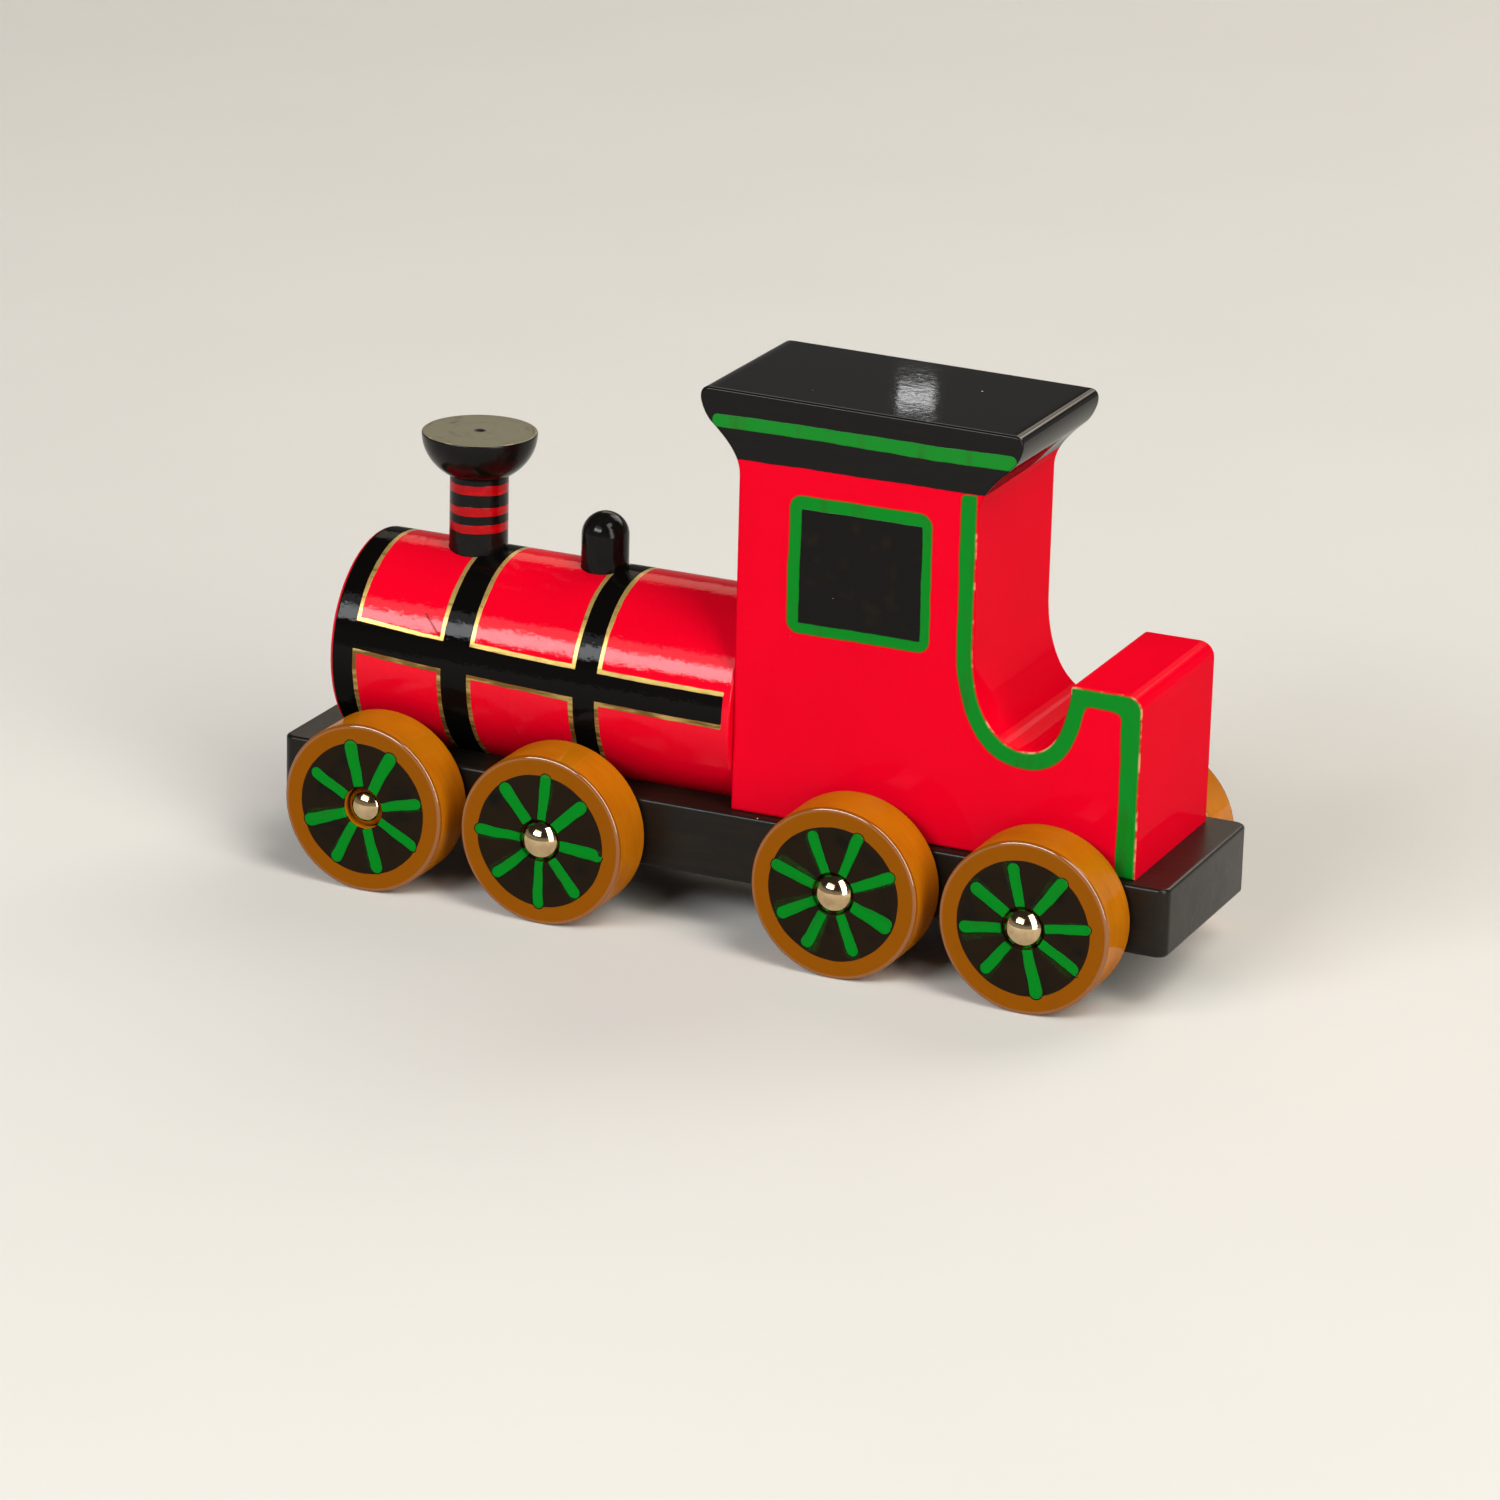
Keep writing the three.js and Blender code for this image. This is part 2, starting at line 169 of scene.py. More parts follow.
# the outer face's caramel, darker than the tread's as painted shade: the tread catches the light from
# above
CARAMEL_FACE_SHADE = (0.172, 0.049, 0.0010)
CARAMEL_DEEP = (0.140, 0.038, 0.0008)
DUST = (0.62, 0.50, 0.46)
WORN_AND_GLINT = (0.42, 0.27, 0.13)  # primer and wood where an edge has lost its paint; on the chimney's rim also a painted highlight
# golden nickel: painted reflection of the warm surroundings in the caps
NICKEL_WARM_REFLECTION = (0.67, 0.50, 0.29)
NICKEL_DEEP_WARM_REFLECTION = (0.50, 0.35, 0.18)
STEEL = (0.48, 0.47, 0.45)
STEEL_DEEP = (0.34, 0.33, 0.31)


# -------------------------------- shader arithmetic

class Field:
    """A number that varies over a surface: a shader socket with ordinary arithmetic."""

    def __init__(self, socket):
        self.socket = socket

    def math(self, operation, *operands):
        node = self.socket.id_data.nodes.new("ShaderNodeMath")
        node.operation = operation
        for value, slot in zip((self, *operands), node.inputs):
            plug(value, slot)
        return Field(node.outputs[0])

    def __rsub__(self, other):
        return self * -1 + other

    def ramp(self, start, end):
        """0 at start and 1 at end, smooth in between."""
        node = self.socket.id_data.nodes.new("ShaderNodeMapRange")
        node.interpolation_type = "SMOOTHSTEP"
        for value, slot in zip((self, start, end), node.inputs):
            plug(value, slot)
        return Field(node.outputs[0])

    def inside(self, blur):
        """1 where this distance is negative and 0 where it is positive."""
        return self.ramp(blur / 2, -blur / 2)


OPERATORS = {
    "__add__": "ADD", "__sub__": "SUBTRACT", "__mul__": "MULTIPLY", "__truediv__": "DIVIDE",
    "__abs__": "ABSOLUTE", "lower": "MINIMUM", "higher": "MAXIMUM", "angle": "ARCTAN2",
    "sine": "SINE", "cosine": "COSINE", "root": "SQRT", "round": "ROUND", "over": "GREATER_THAN",
}
for method, operation in OPERATORS.items():
    setattr(Field, method, functools.partialmethod(Field.math, operation))


def plug(value, slot):
    """Links a field or a socket into a slot, or sets the slot to a plain value."""
    if isinstance(value, Field):
        value = value.socket
    if isinstance(value, bpy.types.NodeSocket):
        slot.id_data.links.new(value, slot)
    elif hasattr(value, "__len__") and len(slot.default_value) == 4:
        slot.default_value = (*value, 1)
    else:
        slot.default_value = value


def blend(tree, amount, under, over):
    """A colour socket between two colours."""
    node = tree.nodes.new("ShaderNodeMix")
    node.data_type = "RGBA"
    plug(amount, node.inputs["Factor"])
    plug(under, node.inputs[6])
    plug(over, node.inputs[7])
    return node.outputs[2]


def length(u, v):
    return (u * u + v * v).root()


def meet(a, b, corner):
    """Distance to what lies inside both a and b, with their meeting corner rounded."""
    a = a + corner
    b = b + corner
    outside = length(a.higher(0), b.higher(0))
    return outside + a.higher(b).lower(0) - corner


def band(position, centre, half_width):
    return abs(position - centre) - half_width


class Paintwork:
    """One procedural material: coats of paint laid over each other by masks."""

    def __init__(self, name, attribute=None):
        self.material = bpy.data.materials.new(name)
        self.material.use_nodes = True
        self.tree = self.material.node_tree
        self.shader = self.tree.nodes["Principled BSDF"]
        if attribute:
            self.place = self.attribute(attribute).outputs["Vector"]
        else:
            self.place = self.tree.nodes.new("ShaderNodeTexCoord").outputs["Object"]
        split = self.tree.nodes.new("ShaderNodeSeparateXYZ")
        plug(self.place, split.inputs[0])
        self.x, self.y, self.z = [Field(socket) for socket in split.outputs]
        self.colour = None
        self.height = 0.0
        self.roughness = 0.2

    def attribute(self, name):
        node = self.tree.nodes.new("ShaderNodeAttribute")
        node.attribute_name = name
        return node

    def number(self, name):
        return Field(self.attribute(name).outputs["Fac"])

    def at(self, *place):
        """A point for a texture, from three fields or numbers."""
        node = self.tree.nodes.new("ShaderNodeCombineXYZ")
        for value, slot in zip(place, node.inputs):
            plug(value, slot)
        return node.outputs[0]

    def noise(self, size, seed, detail, stretch=(1, 1, 1), place=None):
        """Noise from -0.5 to 0.5 with features about size metres wide, longer where stretched."""
        mapping = self.tree.nodes.new("ShaderNodeMapping")
        plug(place or self.place, mapping.inputs["Vector"])
        mapping.inputs["Location"].default_value = (seed * 3.1, seed * 1.7, seed * 2.3)
        mapping.inputs["Scale"].default_value = [1 / (size * along) for along in stretch]
        node = self.tree.nodes.new("ShaderNodeTexNoise")
        plug(mapping.outputs[0], node.inputs["Vector"])
        node.inputs["Scale"].default_value = 1
        node.inputs["Detail"].default_value = detail
        return Field(node.outputs["Fac"]) - 0.5

    def specks(self, spacing, radius, share, seed):
        """Distance to the edge of the nearest of a few scattered round specks."""
        mapping = self.tree.nodes.new("ShaderNodeMapping")
        plug(self.place, mapping.inputs["Vector"])
        mapping.inputs["Location"].default_value = (seed, seed, seed)
        mapping.inputs["Scale"].default_value = [1 / spacing] * 3
        cells = self.tree.nodes.new("ShaderNodeTexVoronoi")
        plug(mapping.outputs[0], cells.inputs["Vector"])
        cells.inputs["Scale"].default_value = 1
        draw = self.tree.nodes.new("ShaderNodeSeparateColor")
        plug(cells.outputs["Color"], draw.inputs[0])
        chosen = Field(draw.outputs[0]).over(1 - share)
        size = Field(draw.outputs[1]) * radius
        return Field(cells.outputs["Distance"]) * spacing - size * chosen + (1 - chosen) * spacing

    def mix(self, amount, under, over):
        return blend(self.tree, amount, under, over)

    def ground(self, colour, shade, variation):
        """The first coat: two tones that drift into each other."""
        self.colour = self.mix(variation.ramp(-0.25, 0.3), colour, shade)

    def coat(self, mask, colour, thickness=0.0, thin=None, brushing=None, roughness=None):
        """A coat over what is there; where brushing is high it is thin and shows its other tone."""
        if thin:
            colour = self.mix(brushing.ramp(0.02, 0.3), colour, thin)
        self.colour = self.mix(mask, self.colour, colour)
        if thickness:
            self.height = mask * thickness + self.height
        if roughness is not None:
            self.roughness = mask * (roughness - self.roughness) + self.roughness

    def relief(self, field):
        self.height = field + self.height

    def dust(self, share, seed):
        """Specks of dust caught in the wet paint."""
        mask = self.specks(DUST_SPACING, DUST_RADIUS, share, seed).inside(DUST_BLUR)
        self.coat(mask, DUST)
        self.relief(mask * DUST_HEIGHT)

    def finish(self, coat=0.0, coat_roughness=0.05, coat_ior=1.5, specular=0.5, metallic=0.0):
        plug(self.colour, self.shader.inputs["Base Color"])
        plug(self.roughness, self.shader.inputs["Roughness"])
        plug(coat, self.shader.inputs["Coat Weight"])
        self.shader.inputs["Coat Roughness"].default_value = coat_roughness
        self.shader.inputs["Coat IOR"].default_value = coat_ior
        self.shader.inputs["Specular IOR Level"].default_value = specular
        plug(metallic, self.shader.inputs["Metallic"])
        bump = self.tree.nodes.new("ShaderNodeBump")
        bump.inputs["Strength"].default_value = 1
        bump.inputs["Distance"].default_value = 1
        plug(self.height, bump.inputs["Height"])
        plug(bump.outputs[0], self.shader.inputs["Normal"])
        plug(bump.outputs[0], self.shader.inputs["Coat Normal"])
        return self.material


# -------------------------------- paint

PAINT_FILM = 0.05 * MM
PAINT_BLUR = 0.12 * MM
WANDER = 0.55 * MM  # how far a line painted by hand strays
TREMBLE = 0.2 * MM  # its quicker shake
DUST_SPACING = 6 * MM
DUST_RADIUS = 0.3 * MM
DUST_BLUR = 0.08 * MM
DUST_HEIGHT = 0.04 * MM
WAVE_HEIGHT = 0.09 * MM
MARK_HEIGHT = 0.045 * MM
GRAIN_HEIGHT = 0.042 * MM

BAND_FRONT_WIDTH = 6.9 * MM
BAND_2 = (74.05 * MM, 3.75 * MM)  # centre and half width along the boiler
BAND_3 = (36.9 * MM, 3.1 * MM)
STRIPE_ANGLE = math.radians(8)  # turn of the side stripe's centre line about the axis, at the cab
STRIPE_RISE = math.radians(8.6)  # how much further up it is at the chimney end
STRIPE_HALF_WIDTH = 3.65 * MM
GOLD_WIDTH = 1.15 * MM
GOLD_VARIATION = 0.7 * MM
LINES_END = 2.2 * MM  # bare red between the boiler's lines and the cab
NICK_X = 79.3 * MM  # a small crack in the first upper panel of the left side
NICK_REACH = (2.4 * MM, 2.6 * MM)  # centre and half length, up from the side stripe's gold line
NICK_HALF_WIDTH = 0.25 * MM
NICK_DEPTH = 0.12 * MM


def lacquer_ripple(paint, along, seed, strength):
    """The faint unevenness of brushed gloss paint: waves, brush marks along the strokes, grain."""
    waves = paint.noise(5 * MM, seed, 2.0)
    marks = paint.noise(0.8 * MM, seed + 4, 2.0, along)
    grain = paint.noise(1.1 * MM, seed + 5, 3.0)
    return (waves * WAVE_HEIGHT + marks * MARK_HEIGHT + grain * GRAIN_HEIGHT) * strength


def red_ground(paint, along, strokes, seed, ripple):
    streaks = paint.noise(2.5 * MM, seed, 3.0, along)
    drift = paint.noise(40 * MM, seed + 1, 1.0)
    paint.ground(RED, RED_DEEP, streaks * 0.12 + drift * 0.35 - 0.12)
    paint.relief(lacquer_ripple(paint, strokes, seed, ripple))
    paint.relief(streaks * (0.004 * MM))


def boiler_paint():
    """Red, with black bands and a black side stripe, all lined in gold."""
    paint = Paintwork("boiler_paint")
    red_ground(paint, (12, 1, 1), (1, 5, 5), 1.0, 1.0)
    sway_x = paint.noise(22 * MM, 2.0, 1.0) * WANDER + paint.noise(3 * MM, 3.0, 1.0) * TREMBLE
    sway_arc = paint.noise(26 * MM, 5.0, 1.0) * WANDER + paint.noise(3 * MM, 6.0, 1.0) * TREMBLE
    x = paint.x + sway_x
    turn = (paint.z - BOILER_AXIS).angle(abs(paint.y))
    arc = turn * BOILER_RADIUS + sway_arc
    forward = (paint.x - BOILER_LO.x) / (BOILER_HI.x - BOILER_LO.x)
    stripe_centre = (forward * forward * STRIPE_RISE + STRIPE_ANGLE) * BOILER_RADIUS
    front_band = (BOILER_HI.x - BAND_FRONT_WIDTH) - x
    stripe = band(arc, stripe_centre, STRIPE_HALF_WIDTH)
    black = front_band.lower(band(x, *BAND_2)).lower(band(x, *BAND_3)).lower(stripe)
    line_width = paint.noise(9 * MM, 8.0, 2.0) * GOLD_VARIATION + GOLD_WIDTH
    gold = band(black, line_width * 0.5, line_width * 0.5)
    cab_end = (BOILER_LO.x + LINES_END) - x
    rim = paint.x - (BOILER_HI.x - BOILER_FRONT_EDGE * 0.75)
    black = meet(meet(black, cab_end, 0.8 * MM), rim, 0.1 * MM).inside(PAINT_BLUR)
    gold = meet(meet(gold, cab_end, 0.5 * MM), rim, 0.1 * MM).inside(PAINT_BLUR)
    brushing = paint.noise(1.6 * MM, 9.0, 3.0, (6, 1, 1))
    paint.coat(black, BLACK_DEEP, PAINT_FILM, roughness=0.5)
    # painted shade: the gold lines turn darker towards the lower side of the boiler
    painted_shade = paint.z.ramp(BOILER_AXIS + 7 * MM, BOILER_AXIS + 2 * MM) * 0.2
    paint.coat(gold, GOLD, 1.5 * PAINT_FILM, GOLD_THIN_AND_SHADE, brushing + painted_shade, 0.34)
    above_stripe = arc - stripe_centre - (STRIPE_HALF_WIDTH + GOLD_WIDTH)
    slant = paint.x - NICK_X - above_stripe + sway_x * 0.8
    nick = meet(abs(slant) - NICK_HALF_WIDTH, band(above_stripe, *NICK_REACH), 0)
    nick = meet(nick, paint.y * -1, 0).inside(0.25 * MM)
    paint.coat(nick * 0.7, BLACK)
    paint.relief(nick * -NICK_DEPTH)
    paint.dust(0.25, 2.0)
    dull = paint.z.ramp(BOILER_AXIS + 2 * MM, BOILER_AXIS - 8 * MM) * 0.4  # less lacquer low down
    shine = (1 - black * 0.5) * (1 - gold * 0.4) * (1 - dull) * 0.36
    return paint.finish(coat=shine, specular=0.0, metallic=gold * 0.6)


WINDOW = (-37.05 * MM, 19.1 * MM, 100.1 * MM, 17.75 * MM)  # outside of its frame: x, half, z, half
PANE = (-37.35 * MM, 16.35 * MM, 99.8 * MM, 14.8 * MM)
ROOF_PAINT_Z = 124.9 * MM
ROOF_STRIPE = (-36.95 * MM, 40.75 * MM, 134.2 * MM, 1.65 * MM)
EDGING_TOP = 124.5 * MM
EDGING_WIDTH = 4.3 * MM
EDGING_REAR_EXTRA = 0.8 * MM  # wider down the bunker's rear
EDGING_GAP = 0.45 * MM  # bare edge outside it
HALO_WIDTH = 0.25 * MM  # where the green soaked into the red round it
CAB_WANDER = 1.1 * MM
CAB_TREMBLE = 0.35 * MM
ROOF_GRAIN_HEIGHT = 0.0018 * MM


def cab_paint():
    """Red below and black above, with a green-framed window and green edging down the back."""
    paint = Paintwork("cab_paint")
    side = abs(paint.y).over(CAB_SIDE - CAB_EDGE * 0.6)
    red_ground(paint, (1, 1, 8), (9, 1, 1), 11.0, 0.015)
    sway = paint.noise(20 * MM, 12.0, 1.5) * CAB_WANDER
    tremble = paint.noise(4 * MM, 13.0, 2.0) * CAB_TREMBLE
    x = paint.x + sway + tremble
    z = paint.z + paint.noise(30 * MM, 14.0, 1.0) * (1.0 * MM) + tremble
    brushing = paint.noise(2.2 * MM, 16.0, 3.0, (2, 2, 9))

    def oblong(spec, corner):
        centre_x, half_x, centre_z, half_z = spec
        return meet(band(x, centre_x, half_x), band(z, centre_z, half_z), corner)

    roof = (ROOF_PAINT_Z - z).inside(PAINT_BLUR)
    grain = paint.noise(1.5 * MM, 15.0, 2.0, (9, 1, 1))
    paint.coat(roof, BLACK, PAINT_FILM, BLACK_THIN, grain * 0.6, 0.3)
    paint.relief(grain * roof * ROOF_GRAIN_HEIGHT)

    edge = paint.number("edge_gap") + tremble * 0.7
    on_rear = paint.x.ramp(BUNKER_REAR + 9 * MM, BUNKER_REAR + 5 * MM)
    width = on_rear * EDGING_REAR_EXTRA + paint.noise(15 * MM, 17.0, 1.0) * (0.9 * MM) + EDGING_WIDTH
    edging = meet(edge - width, z - EDGING_TOP, 1.2 * MM)
    edging = meet(edging, EDGING_GAP - edge, 0.1 * MM)
    # no edging behind the line of the back wall, out under the roof's rear flare
    overhang = (CAB_BACK + EDGING_GAP - paint.x).lower(paint.z - SCOOP_TOP - 10 * MM)
    edging = meet(edging, overhang, 0)
    frame_shape = oblong(WINDOW, 3.2 * MM)
    stripe_low = x.ramp(-20 * MM, -60 * MM) * (-0.25 * MM)
    stripe = meet(band(x, ROOF_STRIPE[0], ROOF_STRIPE[1]),
                  band(z, stripe_low + ROOF_STRIPE[2], ROOF_STRIPE[3] - stripe_low), 1.3 * MM)
    green = edging.lower(frame_shape).lower(stripe)
    halo = (green - HALO_WIDTH).inside(0.2 * MM) * side * (1 - roof)
    paint.coat(halo, GREEN_RIM)
    paint.coat(green.inside(PAINT_BLUR) * side, GREEN, 1.3 * PAINT_FILM, GREEN_THIN, brushing, 0.24)
    pane = oblong(PANE, 0.25 * MM).inside(PAINT_BLUR) * side
    paint.coat(pane, BLACK, PAINT_FILM, BLACK_THIN, paint.noise(5 * MM, 18.0, 3.0), 0.26)
    worn_edge = (paint.number("edge_gap") - EDGING_GAP).inside(0.3 * MM) * side * (1 - roof)
    worn_edge = worn_edge * (paint.z - EDGING_TOP + 4 * MM).inside(1 * MM)
    paint.coat(worn_edge * paint.noise(4 * MM, 19.0, 3.0).ramp(0.0, 0.15) * 0.7, WORN_AND_GLINT)
    paint.dust(0.2, 7.0)
    gloss = roof * (1 - side * 0.6) * 0.48 + green.inside(PAINT_BLUR) * side * 0.1 + 0.06
    return paint.finish(coat=gloss, coat_roughness=0.032, specular=0.0)


def plain_black(name, seed, along, roughness, tones=(BLACK_DEEP, BLACK), grain_height=0.010 * MM):
    """Brushed black paint with the wood's grain just showing through."""
    paint = Paintwork(name)
    grain = paint.noise(0.9 * MM, seed, 3.0, along)
    paint.ground(*tones, grain * 0.8 + paint.noise(14 * MM, seed + 1, 2.0) * 0.5)
    paint.roughness = paint.noise(6 * MM, seed + 2, 2.0) * 0.12 + roughness
    paint.relief(lacquer_ripple(paint, along, seed, 0.5))
    paint.relief(grain * grain_height)
    return paint


def chassis_paint():
    paint = plain_black("chassis_paint", 21.0, (16, 1, 1), 0.30, (BLACK, BLACK_THIN), 0.02 * MM)
    paint.dust(0.2, 3.0)
    return paint.finish(specular=0.18)


CHIMNEY_RINGS = ((99.6, 1.3), (93.8, 1.15), (89.2, 1.15))  # centre and half width, millimetres up


def chimney_paint():
    """Gloss black with three red rings, and a dull top that shows the turning marks, painted grey as a
    sheen of reflected light.
    """
    paint = plain_black("chimney_paint", 31.0, (1, 1, 1.5), 0.2)
    radius = length(paint.x - CHIMNEY_X, paint.y)
    z = paint.z + paint.noise(9 * MM, 33.0, 1.0) * (0.9 * MM)
    rings = None
    for centre, half_width in CHIMNEY_RINGS:
        ring = band(z, centre * MM, half_width * MM)
        rings = ring if rings is None else rings.lower(ring)
    rings = meet(rings, radius - STACK_RADIUS - 0.5 * MM, 0)
    brushing = paint.noise(1.2 * MM, 34.0, 2.0, (3, 3, 1))
    paint.coat(rings.inside(PAINT_BLUR), RED_RING, PAINT_FILM, RED_DEEP, brushing)
    top = (CHIMNEY_HI.z - 0.12 * MM - paint.z).inside(0.1 * MM)
    turning = paint.noise(0.35 * MM, 35.0, 2.0, place=paint.at(radius, 0, 0))
    smudge = paint.noise(5 * MM, 36.0, 3.0)
    # painted sheen: the dull top is painted grey for the light it reflects
    paint.coat(top, BLACK_MATT_PAINTED_SHEEN, 0, BLACK, turning * 0.6 + smudge * 0.6, 0.5)
    paint.relief(turning * top * (0.05 * MM))
    # painted shade: in and round the hollow of the centre mark is painted black
    pit_painted_shade = (radius - CENTRE_MARK * 1.25).inside(0.5 * MM)
    paint.coat(pit_painted_shade, BLACK, roughness=0.5)
    # worn edge and painted highlight: a lighter broken line round the bowl's rim
    rim = band(radius, BOWL_RADIUS - 0.3 * MM, 0.25 * MM).inside(0.2 * MM) * top
    paint.coat(rim * smudge.ramp(0.0, 0.12) * 0.6, WORN_AND_GLINT)
    paint.dust(0.1, 5.0)
    return paint.finish(specular=0.15)


def dome_paint():
    paint = plain_black("dome_paint", 41.0, (1, 1, 3), 0.12)
    paint.dust(0.1, 6.0)
    return paint.finish(specular=0.13)


SPOKES = 8
DISC_RADIUS = 17.6 * MM
SPOKE_FROM = 5.4 * MM
SPOKE_TO = 15.8 * MM
SPOKE_HALF_WIDTH = 1.4 * MM
SPOKE_SHADOW_RIM = 0.28 * MM
SPOKE_LEAN = math.radians(9)
SPOKE_SEED = 7.3
SPOKE_WANDER = 1.2 * MM
SPOKE_START_SPREAD = 1.2 * MM
SPOKE_END_SPREAD = 2.0 * MM
FACE_DEPTH = 0.9 * MM  # how far in from the outer face its paint reaches
TREAD_BLUR = 0.4 * MM


def wheel_paint():
    """Caramel gloss, with a black disc and eight green brush strokes on the outer face.
    Places are in the wheel's own frame: X and Y across the face, Z out along the axle."""
    paint = Paintwork("wheel_paint", "turning")
    number = paint.number("wheel_number")
    own = paint.at(paint.x, paint.y, paint.z + number * 0.3)
    radius = length(paint.x, paint.y)
    turn = paint.y.angle(paint.x)
    streaks = paint.noise(1.5 * MM, 51.0, 3.0, place=paint.at(radius, turn * (3 * MM), paint.z))
    drift = paint.noise(16 * MM, 52.0, 2.0, place=own)
    paint.ground(CARAMEL, CARAMEL_DEEP, streaks * 0.2 + drift * 0.4 - 0.1)
    paint.relief(paint.noise(8 * MM, 53.0, 1.0, place=own) * (0.05 * MM) + streaks * (0.006 * MM))

    # painted shade: the outer face is painted a darker caramel than the tread
    face = paint.z.over(WHEEL_THICKNESS - FACE_DEPTH)
    paint.coat(face, CARAMEL_FACE_SHADE, 0, CARAMEL_DEEP, streaks * 0.2 + drift * 0.4)
    sway = paint.noise(9 * MM, 54.0, 2.0, place=own)
    disc = radius + sway * (0.5 * MM) - DISC_RADIUS
    wash = paint.noise(7 * MM, 55.0, 3.0, place=own)
    paint.coat(disc.inside(PAINT_BLUR) * face, BLACK_THIN, PAINT_FILM, BLACK, wash, 0.3)

    sector = (turn * (SPOKES / math.tau)).round()
    draw = paint.tree.nodes.new("ShaderNodeTexWhiteNoise")
    plug(paint.at(sector, number, SPOKE_SEED), draw.inputs["Vector"])
    dice = paint.tree.nodes.new("ShaderNodeSeparateColor")
    plug(draw.outputs["Color"], dice.inputs[0])
    lean, reach, weight = [Field(socket) - 0.5 for socket in dice.outputs[:3]]
    away = turn - sector * (math.tau / SPOKES) + lean * SPOKE_LEAN
    out = away.cosine() * radius
    across = away.sine() * radius + sway * SPOKE_WANDER
    end = reach * SPOKE_END_SPREAD + SPOKE_TO
    breadth = (out / SPOKE_TO * 0.3 + weight * 0.28 + 0.82) * SPOKE_HALF_WIDTH
    stroke = length(across, (out - out.lower(end)) * 0.95) - breadth
    start = lean * SPOKE_START_SPREAD + SPOKE_FROM
    stroke = meet(stroke, start - out, 0.4 * MM)
    bristles = paint.noise(0.8 * MM, 56.0, 2.0, place=paint.at(across, out * 0.1, sector))
    green = stroke.inside(PAINT_BLUR) * face
    # painted shadow: a black rim round each green stroke, along its raised edge
    paint.coat((stroke - SPOKE_SHADOW_RIM).inside(PAINT_BLUR) * face, BLACK)
    paint.coat(green, GREEN, 2.2 * PAINT_FILM, GREEN_THIN, bristles * 0.5 + wash * 0.3, 0.3)
    paint.relief(bristles * green * (0.03 * MM))
    paint.dust(0.1, 4.0)
    tread_start = WHEEL_RADIUS - WHEEL_RIM
    rim_start = WHEEL_THICKNESS - WHEEL_RIM
    tread = radius.ramp(tread_start - TREAD_BLUR, tread_start)
    rim = tread * paint.z.ramp(rim_start - TREAD_BLUR, rim_start)
    return paint.finish(coat=rim * 0.3 + tread * 0.32 + 0.02, coat_ior=2.0, specular=0.0)


def bright_metal(name, base, shade, roughness, seed):
    """Plated or drawn metal with fine scratches and a little tarnish."""
    paint = Paintwork(name)
    tarnish = paint.noise(2.5 * MM, seed, 3.0)
    scratches = paint.noise(0.25 * MM, seed + 1, 2.0, (1, 9, 1))
    paint.ground(base, shade, tarnish)
    paint.roughness = tarnish * 0.1 + scratches * 0.06 + roughness
    paint.relief(scratches * (0.0012 * MM))
    paint.relief(paint.noise(1.6 * MM, seed + 2, 1.0) * (0.012 * MM))
    return paint.finish(metallic=1.0)


# -------------------------------- meshes

def rounded(corners, steps=4, hold=HOLD):
    """A line through corners (u, v, radius), each turned into an arc with short flats beside it."""
    points = [Vector(corner[:2]) for corner in corners]
    line = [points[0]]
    for before, here, after, corner in zip(points, points[1:], points[2:], corners[1:]):
        radius = corner[2]
        if not radius:
            line.append(here)
            continue
        back = (before - here).normalized()
        ahead = (after - here).normalized()
        half = back.angle(ahead) / 2
        reach = radius / math.tan(half)
        centre = here + (back + ahead).normalized() * (radius / math.sin(half))
        start = here + back * reach - centre
        end = here + ahead * reach - centre
        sweep = start.angle(end)
        line.append(here + back * (reach + hold))
        for step in range(steps + 1):
            share = step / steps
            weights = math.sin((1 - share) * sweep), math.sin(share * sweep)
            line.append(centre + (start * weights[0] + end * weights[1]) / math.sin(sweep))
        line.append(here + ahead * (reach + hold))
    return [*line, points[-1]]


def arc(centre, radii, start, end, steps):
    """Points on part of an ellipse, between two angles in degrees."""
    angles = [math.radians(start + (end - start) * step / steps) for step in range(steps + 1)]
    return [Vector((centre[0] + radii[0] * math.cos(angle), centre[1] + radii[1] * math.sin(angle)))
            for angle in angles]


def bezier(start, start_handle, end_handle, end, steps):
    points = [Vector((*point, 0)) for point in (start, start_handle, end_handle, end)]
    return [point.xy for point in geometry.interpolate_bezier(*points, steps + 1)]


def turned(profile, segments, closed=False):
    """Points and faces of a profile (radius, height) turned about Z."""
    points = []
    rings = []
    for radius, height in profile:
        count = segments if radius > 1e-7 else 1
        rings.append(range(len(points), len(points) + count))
        for k in range(count):
            angle = math.tau * k / segments
            points.append(Vector((radius * math.cos(angle), radius * math.sin(angle), height)))
    pairs = list(zip(rings, rings[1:]))
    if closed:
        pairs.append((rings[-1], rings[0]))
    faces = []
    for low, high in pairs:
        for k in range(segments):
            turns = ((low, k), (low, k + 1), (high, k + 1), (high, k))
            quad = [ring[turn % len(ring)] for ring, turn in turns]
            faces.append(list(dict.fromkeys(quad)))
    return points, faces


def walls(levels, count):
    """Faces between closed rings of count points that follow each other."""
    return [(start + k, start + (k + 1) % count, start + count + (k + 1) % count, start + count + k)
            for start in range(0, (levels - 1) * count, count) for k in range(count)]


def mesh_object(name, points, faces, place=Matrix()):
    mesh = bpy.data.meshes.new(name)
    mesh.from_pydata([place @ Vector(point) for point in points], [], faces)
    work = bmesh.new()
    work.from_mesh(mesh)
    bmesh.ops.recalc_face_normals(work, faces=work.faces)
    work.to_mesh(mesh)
    work.free()
    made = bpy.data.objects.new(name, mesh)
    bpy.context.scene.collection.objects.link(made)
    return made


